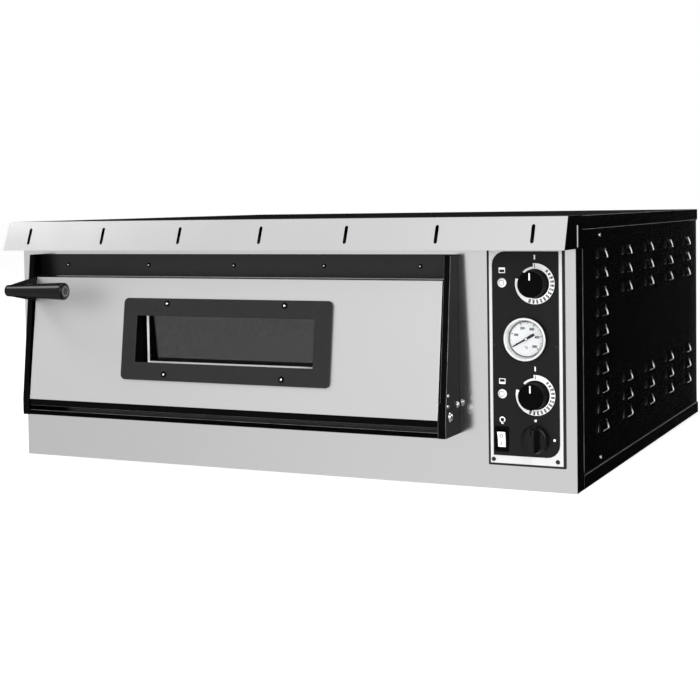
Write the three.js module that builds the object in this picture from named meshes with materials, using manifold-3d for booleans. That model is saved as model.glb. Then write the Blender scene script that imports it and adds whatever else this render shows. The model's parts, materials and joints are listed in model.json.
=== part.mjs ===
// Electric deck oven for pizza and bread: one baking chamber, drop-down door, control panel on the right.
// Units are millimetres, +Z is up and the front faces -Y.
// Pieces are modelled from the fascia's lower left corner: X runs right, Y runs back, Z runs up.
// The exported group then puts the origin on the floor, at the middle of the body's footprint.
import * as THREE from "three";
import { mergeVertices } from "three/addons/utils/BufferGeometryUtils.js";
import Module from "manifold-3d";

const wasm = await Module();
wasm.setup();

// ---- driving dimensions ----
const WIDTH = 1000; // body, side to side
const DEPTH = 896; // fascia to back
const HEIGHT = 413; // floor to roof
const SHEET = 1.5; // sheet metal thickness
const GAP = 0.3; // clearance between touching pieces
const RETURN = 38; // depth of the fascia's and visor's sides
const FLANGE = 21.5; // folded edge of roof and base tray
const INSET = 1.8; // side panels sit this far inside the flanges

// Baking chamber: clear inside faces.
const CHAMBER = { left: 66, right: 786, front: -5.4, rear: 742, floor: 99.5, roof: 286 };
const STONE_TOP = 146;
const STONE_THICK = 16.7;
const STONE_FRONT = 20;

// Visor cross-section.
const VISOR = { topY: -38, lipY: -58, lipZ: 364 };
const VISOR_SLOTS = { count: 7, first: 50, pitch: 150, width: 5.6, low: 374, high: 402 };

// Door: its front slopes from topY at topZ to bottomY at bottomZ; its rear face is upright.
const DOOR = { left: 50, right: 802, topY: -30, topZ: 317, bottomY: -59, bottomZ: 108, rearY: -6 };
const PIVOT = { y: -44, z: 112 };
// The window is a tunnel square to the sloping front, so its floor falls from low to rearLow at the glass.
const WINDOW = { left: 262, right: 591, low: 178, rearLow: 173.4, high: 255 };
const BEZEL = { left: 235, right: 622, low: 149, high: 284, thick: 3, corner: 8 };
const GLASS_Y = -15.9;
const GLASS_THICK = 4;

// Door surround.
const SURROUND = { left: 36, right: 816, low: 81, high: 356, topY: -31, bottomY: -60 };

// Handle: a tapered grip on an arm at the door's left edge.
const GRIP = { left: 41, right: 159.5, y: -100, z: 297.5, rSmall: 9.7, rLarge: 14.5 };

// Control panel and what it carries: centres in X and Z.
const PLATE = { left: 866.2, right: 979.4, low: 40, high: 363 };
const OVERLAY = { left: 871.2, right: 974.7, low: 52, high: 360.5, corner: 20 };
const KNOBS = { upper: [938, 312.4], lower: [937.5, 145.3] };
const KNOB_R = 20.6;
const KNOB_TALL = 26;
const PILOTS = { upper: [887, 313.4], lower: [886, 145.8] };
const THERMOMETER = [923.8, 229.3];
const MAIN_SWITCH = [937.5, 79];
const ROCKER = [884.5, 76.9];
const PLATE_FRONT = -1.8; // Y of the silver plate's face
const FACE = -2.8; // Y of the overlay's face

const ELEMENT_R = 4.25;
const ELEMENT_ROWS = [150, 370, 590]; // Y of each hairpin's middle
const HAIRPIN_R = 40;

// ---- solids from three.js geometry ----
function solid(geometry) {
  const bare = geometry.index ? geometry.toNonIndexed() : geometry.clone();
  bare.deleteAttribute("normal");
  bare.deleteAttribute("uv");
  const merged = mergeVertices(bare, 1e-4);
  return new wasm.Manifold(
    new wasm.Mesh({
      numProp: 3,
      vertProperties: Float32Array.from(merged.attributes.position.array),
      triVerts: Uint32Array.from(merged.index.array),
    }),
  );
}

function box(x0, x1, y0, y1, z0, z1) {
  const g = new THREE.BoxGeometry(x1 - x0, y1 - y0, z1 - z0);
  return solid(g.translate((x0 + x1) / 2, (y0 + y1) / 2, (z0 + z1) / 2));
}

// Columns are where the outline's two directions and the extrusion go, per axis.
const BASES = {
  x: [new THREE.Vector3(0, 1, 0), new THREE.Vector3(0, 0, 1), new THREE.Vector3(1, 0, 0)],
  y: [new THREE.Vector3(0, 0, 1), new THREE.Vector3(1, 0, 0), new THREE.Vector3(0, 1, 0)],
  z: [new THREE.Vector3(1, 0, 0), new THREE.Vector3(0, 1, 0), new THREE.Vector3(0, 0, 1)],
};

// Extrudes an outline along an axis. Points are (Y, Z) for x, (X, Z) for y and (X, Y) for z.
function prism(axis, points, from, to) {
  const outline = points.map(([a, b]) => (axis === "y" ? new THREE.Vector2(b, a) : new THREE.Vector2(a, b)));
  const options = { depth: to - from, bevelEnabled: false, steps: 1 };
  const g = new THREE.ExtrudeGeometry(new THREE.Shape(outline), options);
  g.translate(0, 0, from);
  return solid(g.applyMatrix4(new THREE.Matrix4().makeBasis(...BASES[axis])));
}

function circle([a, b], r, sides = 16) {
  return Array.from({ length: sides }, (_, i) => {
    const t = (2 * Math.PI * (i + 0.5)) / sides;
    return [a + r * Math.cos(t), b + r * Math.sin(t)];
  });
}

const rod = (axis, centre, r, from, to, sides = 16) => prism(axis, circle(centre, r, sides), from, to);

// A rectangle whose four corners have their own radii: lower left, lower right, upper right, upper left.
function roundedRect(x0, x1, z0, z1, radii, steps = 3) {
  const corners = [
    [x0, z0, 1, 1, Math.PI],
    [x1, z0, -1, 1, 1.5 * Math.PI],
    [x1, z1, -1, -1, 0],
    [x0, z1, 1, -1, 0.5 * Math.PI],
  ];
  return corners.flatMap(([x, z, sx, sz, start], i) => {
    const r = radii[i];
    if (r === 0) return [[x, z]];
    return Array.from({ length: steps + 1 }, (_, k) => {
      const t = start + (0.5 * Math.PI * k) / steps;
      return [x + sx * r + r * Math.cos(t), z + sz * r + r * Math.sin(t)];
    });
  });
}

const rect = (x0, x1, z0, z1, r = 0, steps = 3) => roundedRect(x0, x1, z0, z1, [r, r, r, r], steps);

// Turns a profile of [radius, Y] points about the axis through (x, z) that runs along Y.
function turned(profile, [x, z], sides = 24) {
  const g = new THREE.LatheGeometry(profile.map(([r, y]) => new THREE.Vector2(r, y)), sides);
  return solid(g.translate(x, 0, z));
}

const joined = (pieces) => pieces.reduce((a, b) => a.add(b));
const cut = (body, tools) => tools.reduce((a, b) => a.subtract(b), body);

// ---- finishes ----
const finish = (color, roughness, metalness, extra = {}) =>
  new THREE.MeshStandardMaterial({ color, roughness, metalness, ...extra });
const STAINLESS = finish(0xc6c7c8, 0.32, 0.9);
const BLACK_PAINT = finish(0x1b1b1d, 0.35, 0.1);
const ZINC = finish(0x9da2a5, 0.5, 0.8);
const STONE = finish(0xb9a98c, 0.9, 0);
const WOOL = finish(0xd8cfa6, 1, 0);
const SHEATH = finish(0x5d5a56, 0.55, 0.7);
const CHROME = finish(0xdadada, 0.12, 1);
const CLEAR = finish(0x2c2f30, 0.05, 0, { transparent: true, opacity: 0.45 });
const BLACK_PLASTIC = finish(0x121213, 0.3, 0);
const FILM = finish(0x222224, 0.45, 0);
const WHITE_PLASTIC = finish(0xf0f0ec, 0.25, 0);
const BEIGE_PLASTIC = finish(0xb8b19f, 0.5, 0);

const oven = new THREE.Group();
const pieces = new THREE.Group();
pieces.position.set(-WIDTH / 2, -DEPTH / 2, 0);
oven.add(pieces);

function add(name, body, material) {
  const { numProp, vertProperties, triVerts } = body.getMesh();
  const g = new THREE.BufferGeometry();
  g.setAttribute("position", new THREE.InterleavedBufferAttribute(
    new THREE.InterleavedBuffer(vertProperties, numProp), 3, 0));
  g.setIndex(new THREE.BufferAttribute(triVerts, 1));
  const flat = g.toNonIndexed();
  flat.computeVertexNormals();
  const mesh = new THREE.Mesh(flat, material);
  mesh.name = name;
  pieces.add(mesh);
}

// ---- outer shell ----
function addBaseTray() {
  const tray = box(0, WIDTH, RETURN, DEPTH, 0, FLANGE);
  const inside = box(SHEET, WIDTH - SHEET, RETURN + SHEET, DEPTH - SHEET, SHEET, FLANGE + 1);
  const notches = [SHEET, WIDTH - 4].map((x) =>
    box(x, x + 4 - SHEET, RETURN - 1, RETURN + 3, SHEET, FLANGE + 1));
  add("base_tray", cut(tray, [inside, ...notches]), BLACK_PAINT);
}

function addRoof() {
  const lid = box(0, WIDTH, RETURN, DEPTH, HEIGHT - FLANGE, HEIGHT);
  const inside = box(SHEET, WIDTH - SHEET, RETURN - 1, DEPTH - SHEET, HEIGHT - FLANGE - 1, HEIGHT - SHEET);
  add("roof_panel", lid.subtract(inside), BLACK_PAINT);
}

// Pressed louvres open downwards: a full column of ten at the front, six in each column behind it.
const LOUVRE = { long: 64, tall: 15, proud: 5, firstBack: 184, pitchY: 160, topZ: 352.3, pitchZ: 30.1 };

function louvreSpots() {
  const rows = [0, 1, 2, 3, 4, 5, 6, 7, 8, 9];
  return [0, 1, 2, 3, 4].flatMap((column) =>
    rows
      .filter((row) => column === 0 || row < 3 || row > 6)
      .map((row) => [
        LOUVRE.firstBack + LOUVRE.pitchY * column - LOUVRE.long / 2,
        LOUVRE.topZ - LOUVRE.pitchZ * row,
      ]),
  );
}

// side is +1 for the right panel and -1 for the left one.
function addSidePanel(name, side) {
  const outer = side > 0 ? WIDTH - INSET : INSET;
  const sheet = (from, to, y0, y1, z0, z1) => {
    const [a, b] = [outer + side * from, outer + side * to].sort((p, q) => p - q);
    return box(a, b, y0, y1, z0, z1);
  };
  const wedge = (y, z, length, drop) => {
    const half = LOUVRE.tall / 2;
    const corners = [
      [outer - side * drop.root, z + half - drop.top],
      [outer + side * drop.proud, z - half - drop.below],
      [outer - side * drop.root, z - half - drop.below],
    ];
    return prism("y", corners, y - length / 2, y + length / 2);
  };
  let panel = sheet(-SHEET, 0, RETURN + GAP, DEPTH - 3.6, 3, HEIGHT - 4);
  const hoods = louvreSpots().map(([y, z]) =>
    wedge(y, z, LOUVRE.long, { root: 1, top: 0, proud: LOUVRE.proud, below: 0 }));
  const mouths = louvreSpots().map(([y, z]) =>
    wedge(y, z, LOUVRE.long - 2 * SHEET, { root: 2, top: 3.4, proud: LOUVRE.proud - 1.4, below: 0.5 }));
  panel = joined([panel, ...hoods]);
  add(name, cut(panel, mouths), BLACK_PAINT);
}

function addBackPanel() {
  const panel = box(3, WIDTH - 3, DEPTH - SHEET - GAP - SHEET, DEPTH - SHEET - GAP, 3, HEIGHT - 4);
  const gland = rod("y", GLAND.centre, GLAND.r + GAP, 0, DEPTH + 1);
  const vents = [300, 320, 340].flatMap((z) =>
    [840, 910].map((x) => prism("y", rect(x, x + 50, z, z + 6, 2.5), DEPTH - 10, DEPTH + 1)));
  add("back_panel", cut(panel, [gland, ...vents]), BLACK_PAINT);
}

function addFascia() {
  const top = VISOR.lipZ - GAP;
  const rear = RETURN - GAP;
  const sheet = joined([
    box(0, WIDTH, 0, SHEET, 0.5, top),
    box(0, SHEET, 0, rear, 0.5, top),
    box(WIDTH - SHEET, WIDTH, 0, rear, 0.5, top),
    box(0, WIDTH, 0, rear, 0.5, 0.5 + SHEET),
  ]);
  const mouth = box(CHAMBER.left - 2.5, CHAMBER.right + 2.5, -1, 3, CHAMBER.floor - 2, CHAMBER.roof + 2.3);
  const bay = box(PLATE.left + 8, PLATE.right - 12, -1, 3, PLATE.low + 12, PLATE.high - 12);
  add("front_fascia", cut(sheet, [mouth, bay]), STAINLESS);
}

function addVisor() {
  const rear = RETURN - GAP;
  const { topY, lipY, lipZ } = VISOR;
  const hood = prism("x", [[rear, HEIGHT], [topY, HEIGHT], [lipY, lipZ], [rear, lipZ]], 0, WIDTH);
  const inner = [
    [RETURN + 2, HEIGHT - SHEET],
    [topY + 1, HEIGHT - SHEET],
    [lipY + 2.2, lipZ + SHEET],
    [-SHEET, lipZ + SHEET],
    [-SHEET, lipZ - 2],
    [RETURN + 2, lipZ - 2],
  ];
  const { count, first, pitch, width, low, high } = VISOR_SLOTS;
  const slots = Array.from({ length: count }, (_, i) => {
    const x = first + pitch * i;
    return prism("y", rect(x - width / 2, x + width / 2, low, high, width / 2 - 0.1, 2), lipY - 5, topY + 8);
  });
  add("visor", cut(hood, [prism("x", inner, SHEET, WIDTH - SHEET), ...slots]), STAINLESS);
}

// ---- baking chamber ----
const legs = (rows) => rows.flatMap((y) => [y - HAIRPIN_R, y + HAIRPIN_R]);
const UPPER_Z = 278.5;
const LOWER_Z = 110;
const LAMP = [700, 64]; // X and Y
const ELEMENT_END = 812;

function addChamber() {
  const { left, right, front, rear, floor, roof } = CHAMBER;
  const wide = [left - SHEET, right + SHEET];
  add("chamber_floor", box(...wide, front, rear + SHEET + GAP, floor - SHEET, floor), ZINC);
  const lampHole = rod("z", LAMP, 22, roof, roof + 3);
  const ceiling = box(...wide, front, rear + SHEET + GAP, roof + GAP, roof + GAP + SHEET);
  add("chamber_roof", ceiling.subtract(lampHole), ZINC);
  const [low, high] = [floor + GAP, roof];
  add("chamber_wall_left", box(left - SHEET, left, front, rear, low, high), ZINC);
  const ports = [UPPER_Z, LOWER_Z].flatMap((z) =>
    legs(ELEMENT_ROWS).map((y) => rod("x", [y, z], ELEMENT_R + 0.5, right - 3, right + 5, 8)));
  const wall = box(right, right + SHEET, front, rear, low, high);
  add("chamber_wall_right", cut(wall, ports), ZINC);
  add("chamber_wall_rear", box(...wide, rear + GAP, rear + GAP + SHEET, low, high), ZINC);

  const top = STONE_TOP - 2.5;
  const inside = [left + GAP, right - GAP];
  const threshold = prism("x", [
    [front, low], [front + SHEET, low], [front + SHEET, top - SHEET],
    [STONE_FRONT - 1, top - SHEET], [STONE_FRONT - 1, top], [front, top],
  ], ...inside);
  add("mouth_threshold", threshold, STAINLESS);
}

function addHearth() {
  const { left, right, rear } = CHAMBER;
  const middle = (left + right) / 2;
  const depth = [STONE_FRONT, rear - 2];
  const height = [STONE_TOP - STONE_THICK, STONE_TOP];
  add("hearth_stone_left", box(left + 0.6, middle - GAP, ...depth, ...height), STONE);
  add("hearth_stone_right", box(middle + GAP, right - 0.6, ...depth, ...height), STONE);

  // Rails: an upright web on the chamber floor with a flange under the stones.
  const rail = (name, web, flange) => {
    const top = STONE_TOP - STONE_THICK - GAP;
    const upright = box(web, web + SHEET, STONE_FRONT + 1, rear - 2, CHAMBER.floor + GAP, top);
    const ledge = box(...flange, STONE_FRONT + 1, rear - 2, top - SHEET, top);
    const ports = legs(ELEMENT_ROWS).map((y) =>
      rod("x", [y, LOWER_Z], ELEMENT_R + 0.5, web - 1, web + SHEET + 1, 8));
    add(name, cut(upright.add(ledge), ports), ZINC);
  };
  rail("stone_rail_left", left + 1, [left + 1, left + 15]);
  rail("stone_rail_middle", middle - SHEET / 2, [middle - 15, middle + 15]);
  rail("stone_rail_right", right - 1 - SHEET, [right - 15, right - 1]);
}

// Path of a hairpin heating element: a leg, a half-circle and a leg back.
class Hairpin extends THREE.Curve {
  constructor(y, z) {
    super();
    this.middle = y;
    this.z = z;
    this.turnX = 126;
  }

  getPoint(t, target = new THREE.Vector3()) {
    const leg = 0.1;
    const run = ELEMENT_END - this.turnX;
    if (t < leg) return target.set(ELEMENT_END - (run * t) / leg, this.middle - HAIRPIN_R, this.z);
    if (t > 1 - leg) {
      return target.set(ELEMENT_END - (run * (1 - t)) / leg, this.middle + HAIRPIN_R, this.z);
    }
    const turn = (Math.PI * (t - leg)) / (1 - 2 * leg);
    return target.set(
      this.turnX - HAIRPIN_R * Math.sin(turn),
      this.middle - HAIRPIN_R * Math.cos(turn),
      this.z,
    );
  }

  getUtoTmapping(u) {
    return u;
  }
}

function addElements() {
  const section = new THREE.Shape(circle([0, 0], ELEMENT_R, 8).map(([a, b]) => new THREE.Vector2(a, b)));
  const places = ["front", "middle", "rear"];
  for (const [level, z] of [["upper", UPPER_Z], ["lower", LOWER_Z]]) {
    places.forEach((place, i) => {
      const path = new Hairpin(ELEMENT_ROWS[i], z);
      const g = new THREE.ExtrudeGeometry(section, { steps: 10, extrudePath: path, bevelEnabled: false });
      add(`${level}_element_${place}`, solid(g), SHEATH);
    });
  }
}

function addLamp() {
  const { roof } = CHAMBER;
  add("chamber_lamp_holder", rod("z", LAMP, 20, roof + 2.4, roof + 44, 20), ZINC);
  const lens = joined([
    rod("z", LAMP, 21, roof - 4, roof + 2, 20),
    rod("z", LAMP, 17, roof - 9, roof - 3, 20),
  ]);
  add("chamber_lamp_lens", lens, CLEAR);
}

function addInsulation() {
  const { left, right, rear, floor, roof } = CHAMBER;
  const skin = SHEET + 1;
  const blanket = box(12, 822, 4, rear + 140, 24, 385);
  const hollow = box(left - skin, right + skin, 0, rear + 3, floor - skin, roof + skin);
  const pockets = [UPPER_Z, LOWER_Z].flatMap((z) =>
    ELEMENT_ROWS.map((y) => box(right, ELEMENT_END + 2, y - 47, y + 47, z - 7, z + 7)));
  const lamp = rod("z", LAMP, 21, roof, roof + 46, 20);
  const sills = box(0, WIDTH, 0, RETURN + 3, 0, FLANGE + 3);
  add("insulation_blanket", cut(blanket, [hollow, lamp, sills, ...pockets]), WOOL);
}

// ---- electrical bay ----
const PARTITION_X = 824;
const GLAND = { centre: [930, 60], r: 11 };

function addBay() {
  const wires = [[200, 300], [200, 110]].map((p) => rod("x", p, 12, PARTITION_X - 1, PARTITION_X + 3));
  const wall = box(PARTITION_X, PARTITION_X + SHEET, RETURN + 3, DEPTH - 6, 3, HEIGHT - 6);
  add("partition_wall", cut(wall, wires), ZINC);

  const shelf = PARTITION_X + SHEET + GAP;
  const contactor = joined([
    box(shelf, shelf + 45, 300, 345, 170, 250),
    box(shelf + 45, shelf + 70, 300, 345, 185, 235),
  ]);
  add("contactor", contactor, BEIGE_PLASTIC);

  const screws = [0, 1, 2, 3, 4].map((i) => rod("x", [766 + 16 * i, 150], 4, shelf + 15, shelf + 31, 8));
  add("terminal_block", cut(box(shelf, shelf + 24, 756, 840, 135, 165), screws), WHITE_PLASTIC);

  const { centre, r } = GLAND;
  const back = DEPTH - SHEET;
  const panelFace = back - GAP;
  const gland = joined([
    rod("y", centre, r, panelFace - 16, back + 1, 16),
    rod("y", centre, 16, panelFace + GAP, back + 6, 6),
    rod("y", centre, 12.5, back + 5, back + 18, 16),
    rod("y", centre, 15, panelFace - 9, panelFace - SHEET - GAP, 6),
  ]);
  add("cable_gland", gland.subtract(rod("y", centre, 7, 0, DEPTH + 40, 16)), BLACK_PLASTIC);
}

// ---- door surround ----
const slopeY = (z, top, bottom) => top.y + ((bottom.y - top.y) * (top.z - z)) / (top.z - bottom.z);
const CHEEK_TOP = { y: SURROUND.topY, z: SURROUND.high };
const CHEEK_BOTTOM = { y: SURROUND.bottomY, z: 108 };
const cheekY = (z) => (z < CHEEK_BOTTOM.z ? CHEEK_BOTTOM.y : slopeY(z, CHEEK_TOP, CHEEK_BOTTOM));

function addCheek(name, side) {
  const { low, high } = SURROUND;
  const outer = side > 0 ? SURROUND.right : SURROUND.left;
  const span = (from, to) => [outer - side * from, outer - side * to].sort((p, q) => p - q);
  const outline = [
    [-GAP, low], [CHEEK_BOTTOM.y, low], [CHEEK_BOTTOM.y, CHEEK_BOTTOM.z], [CHEEK_TOP.y, high], [-GAP, high],
  ];
  const plate = prism("x", outline, ...span(0, SHEET));
  const lip = (z0, z1, width) => {
    const strip = [[cheekY(z0), z0], [cheekY(z1), z1], [cheekY(z1) + SHEET, z1], [cheekY(z0) + SHEET, z0]];
    return prism("x", strip, ...span(0, width));
  };
  const pinHole = rod("x", [PIVOT.y, PIVOT.z], 4 + GAP, outer - 5, outer + 5, 12);
  const knee = CHEEK_BOTTOM.z;
  const cheek = joined([plate, lip(low, knee, 13), lip(knee, 135, 13), lip(135, high, 10.3)]);
  add(name, cheek.subtract(pinHole), BLACK_PAINT);
}

function addSurround() {
  const { left, right, low, high, bottomY } = SURROUND;
  const between = [left + SHEET + GAP, right - SHEET - GAP];
  add("surround_lintel", box(...between, -1.8, -GAP, DOOR.topZ + 1.5, high), BLACK_PAINT);
  addCheek("surround_cheek_left", -1);
  addCheek("surround_cheek_right", 1);
  const lipY = bottomY + SHEET + GAP;
  const sill = prism("x", [
    [-GAP, low], [-GAP, low + SHEET], [lipY + SHEET, low + SHEET],
    [lipY + SHEET, low + 8.5], [lipY, low + 8.5], [lipY, low],
  ], ...between);
  add("surround_sill", sill, BLACK_PAINT);

  for (const [name, side, outer] of [["left", -1, left], ["right", 1, right]]) {
    const span = (from, to) => [outer - side * from, outer - side * to].sort((p, q) => p - q);
    const pin = joined([
      rod("x", [PIVOT.y, PIVOT.z], 4, ...span(-2, 19.5), 12),
      rod("x", [PIVOT.y, PIVOT.z], 7.2, ...span(-4.8, -GAP), 12),
    ]);
    add(`hinge_pin_${name}`, pin, CHROME);
  }
}

// ---- door ----
// Unit step out of the sloping front, and points on lines parallel to that front.
const slopeLength = Math.hypot(DOOR.bottomY - DOOR.topY, DOOR.bottomZ - DOOR.topZ);
const OUT = [(DOOR.bottomZ - DOOR.topZ) / slopeLength, (DOOR.topY - DOOR.bottomY) / slopeLength];
function frontY(z, proud = 0) {
  const top = { y: DOOR.topY, z: DOOR.topZ };
  const bottom = { y: DOOR.bottomY, z: DOOR.bottomZ };
  return slopeY(z, top, bottom) + proud / OUT[0];
}
// A slab parallel to the front between two offsets, from z0 to z1.
function slab(near, far, z0, z1, x0, x1) {
  const line = [[frontY(z0, far), z0], [frontY(z1, far), z1], [frontY(z1, near), z1], [frontY(z0, near), z0]];
  return prism("x", line, x0, x1);
}

// A hole from front to back, larger than the window by a margin.
function windowHole(margin, low, from = -90, to = 5) {
  const { left, right, high } = WINDOW;
  return prism("y", rect(left - margin, right + margin, low - margin, high + margin, 2), from, to);
}

function addDoorShell() {
  const { left, right, topZ, bottomZ, rearY } = DOOR;
  const skin = slab(-SHEET, 0, bottomZ, topZ, left, right);
  add("door_skin", skin.subtract(windowHole(2.4, WINDOW.low)), STAINLESS);

  const inset = -SHEET - GAP;
  const bottomFront = frontY(bottomZ, inset);
  const low0 = 97;
  const outline = [
    [frontY(topZ, inset), topZ], [bottomFront, bottomZ], [bottomFront, low0],
    [rearY - 3.5, low0], [rearY, PIVOT.z], [rearY, topZ],
  ];
  const core = [
    [-100, topZ - SHEET], [-100, bottomZ + SHEET], [bottomFront + SHEET, bottomZ + SHEET],
    [bottomFront + SHEET, low0 + SHEET], [rearY - 3.5 - SHEET, low0 + SHEET],
    [rearY - SHEET, PIVOT.z], [rearY - SHEET, topZ - SHEET],
  ];
  const pan = prism("x", outline, left, right);
  const inner = prism("x", core, left + SHEET, right - SHEET);
  const pinHoles = rod("x", [PIVOT.y, PIVOT.z], 4 + GAP, left - 5, right + 5, 12);
  add("door_frame", cut(pan, [inner, pinHoles, windowHole(0, WINDOW.rearLow, -20)]), BLACK_PAINT);

  const wool = prism("x", [
    [frontY(topZ - 4, -3), topZ - 4], [frontY(bottomZ + 18, -3), bottomZ + 18],
    [rearY - SHEET - 1, bottomZ + 18], [rearY - SHEET - 1, topZ - 4],
  ], left + 16, right - 16);
  add("door_insulation", wool.subtract(windowHole(17, WINDOW.rearLow)), WOOL);
}

function addWindow() {
  const { left, right, low, rearLow, high } = WINDOW;
  const far = GAP + BEZEL.thick;
  const outline = rect(BEZEL.left, BEZEL.right, BEZEL.low, BEZEL.high, BEZEL.corner);
  const plate = slab(GAP, far, BEZEL.low - 5, BEZEL.high + 5, BEZEL.left - 5, BEZEL.right + 5)
    .intersect(prism("y", outline, -90, 5));
  const floorZ = (y) => low + ((rearLow - low) * (y - frontY(low))) / (GLASS_Y - frontY(low));
  const tunnel = (margin, from, to) => prism("x", [
    [from, high + margin], [from, floorZ(from) - margin], [to, floorZ(to) - margin], [to, high + margin],
  ], left - margin, right + margin);
  const tube = tunnel(SHEET, -90, GLASS_Y - GAP)
    .intersect(slab(-60, far - 1, low - 9, high + 9, left - 9, right + 9));
  add("window_bezel", plate.add(tube).subtract(tunnel(0, -90, 5)), BLACK_PAINT);

  const glassRear = GLASS_Y + GLASS_THICK;
  const pane = rect(left - 7, right + 7, rearLow - 7, high + 7, 2);
  add("window_glass", prism("y", pane, GLASS_Y, glassRear), CLEAR);
  const frame = windowHole(12, rearLow, glassRear + GAP, -7.8);
  add("glass_retainer", frame.subtract(windowHole(0, rearLow)), ZINC);
}

function addHandle() {
  const { left, right, y, z, rSmall, rLarge } = GRIP;
  const arm = [DOOR.left - 3.3, DOOR.left - GAP];
  const tip = circle([y, z], rSmall, 16).filter(([a]) => a < y);
  tip.sort((p, q) => q[1] - p[1]);
  const outline = [[-10, 317], [-36, 317], ...tip, [-36, 276], [-10, 276]];
  const boss = rod("x", [y, z], rSmall, left, arm[0] + 1);
  add("handle_arm", prism("x", outline, ...arm).add(boss), BLACK_PAINT);

  const start = DOOR.left;
  const profile = [
    [0, start], [rSmall + 0.5, start], [rLarge, right - 6], [rLarge - 1.5, right - 2],
    [rLarge - 5, right], [0, right],
  ];
  const g = new THREE.LatheGeometry(profile.map(([r, x]) => new THREE.Vector2(r, x)), 24);
  g.rotateZ(-Math.PI / 2);
  add("handle_grip", solid(g.translate(0, y, z)), BLACK_PLASTIC);
}

// ---- control panel ----
function addPanelPlates() {
  const { left, right, low, high } = PLATE;
  const ports = [
    ...Object.values(KNOBS).map((p) => rod("y", p, 6, -5, 5)),
    ...Object.values(PILOTS).map((p) => rod("y", p, 5.4, -5, 5)),
    rod("y", THERMOMETER, 29, -5, 5, 24),
    rod("y", MAIN_SWITCH, 11.4, -5, 5),
    prism("y", rect(ROCKER[0] - 9.4, ROCKER[0] + 9.4, ROCKER[1] - 17.4, ROCKER[1] + 17.4), -5, 5),
  ];
  add("control_plate", cut(box(left, right, PLATE_FRONT, -GAP, low, high), ports), STAINLESS);
  const { left: ol, right: or, low: olow, high: ohigh, corner } = OVERLAY;
  const outline = roundedRect(ol, or, olow, ohigh, [0, corner, 0, corner], 5);
  const film = prism("y", outline, FACE, PLATE_FRONT - GAP);
  add("control_overlay", cut(film, ports), FILM);
}

function addThermostats() {
  for (const [level, spot] of Object.entries(KNOBS)) {
    const [x, z] = spot;
    const base = FACE - 0.5;
    const tip = base - KNOB_TALL;
    const profile = [
      [0, base], [KNOB_R, base], [KNOB_R - 0.6, tip + 1.5], [KNOB_R - 2.2, tip], [0, tip],
    ].reverse();
    const knob = joined([
      turned(profile, spot),
      box(x - 0.9, x + 0.9, tip - 0.7, tip + 1, z + 3, z + KNOB_R - 3),
      rod("y", spot, 3, base - 2, 16, 12),
    ]);
    add(`thermostat_knob_${level}`, knob, BLACK_PLASTIC);
    const body = joined([
      box(x - 21, x + 21, 8, 46, z - 21, z + 21),
      rod("y", spot, 5.6, FACE + 0.4, 9),
    ]);
    add(`thermostat_body_${level}`, body.subtract(rod("y", spot, 3 + GAP, -5, 18, 12)), ZINC);
  }
}

function addMainSwitch() {
  const [x, z] = MAIN_SWITCH;
  const base = FACE - 0.5;
  const profile = [[0, base], [21.5, base], [21.3, base - 5], [18.5, base - 9], [0, base - 9]].reverse();
  const knob = joined([
    turned(profile, MAIN_SWITCH, 28),
    prism("y", rect(x - 5.5, x + 5.5, z - 18, z + 18, 4), base - 25, base - 8),
    rod("y", MAIN_SWITCH, 3, base - 2, 16, 12),
  ]);
  add("main_switch_knob", knob, BLACK_PLASTIC);
  const body = joined([
    box(x - 23, x + 23, 8, 54, z - 23, z + 23),
    rod("y", MAIN_SWITCH, 11, FACE + 0.4, 9),
  ]);
  add("main_switch_body", body.subtract(rod("y", MAIN_SWITCH, 3 + GAP, -5, 18, 12)), BLACK_PLASTIC);
}

function addPilots() {
  for (const [level, spot] of Object.entries(PILOTS)) {
    const profile = [
      [0, -5.8], [3.6, -5.4], [6.2, -4.2], [7, FACE - GAP], [5, FACE - GAP], [5, 18], [0, 18],
    ];
    add(`pilot_lamp_${level}`, turned(profile, spot, 20), WHITE_PLASTIC);
  }
}

// The thermometer's case is a cup. Its ring overhangs the barrel, and the dial lies level with the plate.
const DIAL_Y = -1;
function addThermometer() {
  const rim = -13;
  const flange = FACE - GAP;
  const profile = [
    [0, 16], [28, 16], [28, flange], [30, flange], [30, rim + 4], [32.5, rim + 3], [32.5, rim + 1],
    [31.5, rim], [29.6, rim], [27, DIAL_Y], [0, DIAL_Y],
  ].reverse();
  const shaft = rod("y", THERMOMETER, 1.4, DIAL_Y - 1, DIAL_Y + 6, 10);
  add("thermometer_case", turned(profile, THERMOMETER, 36).subtract(shaft), CHROME);

  // The needle rests at zero, at the dial's eight o'clock.
  const [x, z] = THERMOMETER;
  const zero = THREE.MathUtils.degToRad(240);
  const along = (r, across) => [
    x + r * Math.sin(zero) + across * Math.cos(zero),
    z + r * Math.cos(zero) - across * Math.sin(zero),
  ];
  const blade = [
    along(24, 0.8), along(24, -0.8), along(-3, -1.3), along(-14.4, -2), along(-14.4, 2), along(-3, 1.3),
  ];
  const [front, back] = [DIAL_Y - 2.2, DIAL_Y - 1.4];
  const needle = joined([
    prism("y", blade, front, back),
    rod("y", THERMOMETER, 2.6, front - 0.4, back + 0.4, 12),
    rod("y", THERMOMETER, 1.1, back, DIAL_Y + 5, 10),
  ]);
  add("thermometer_needle", needle, BLACK_PAINT);
  add("thermometer_lens", rod("y", THERMOMETER, 28.6, rim + 1.2, rim + 2.8, 36), CLEAR);
}

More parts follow.
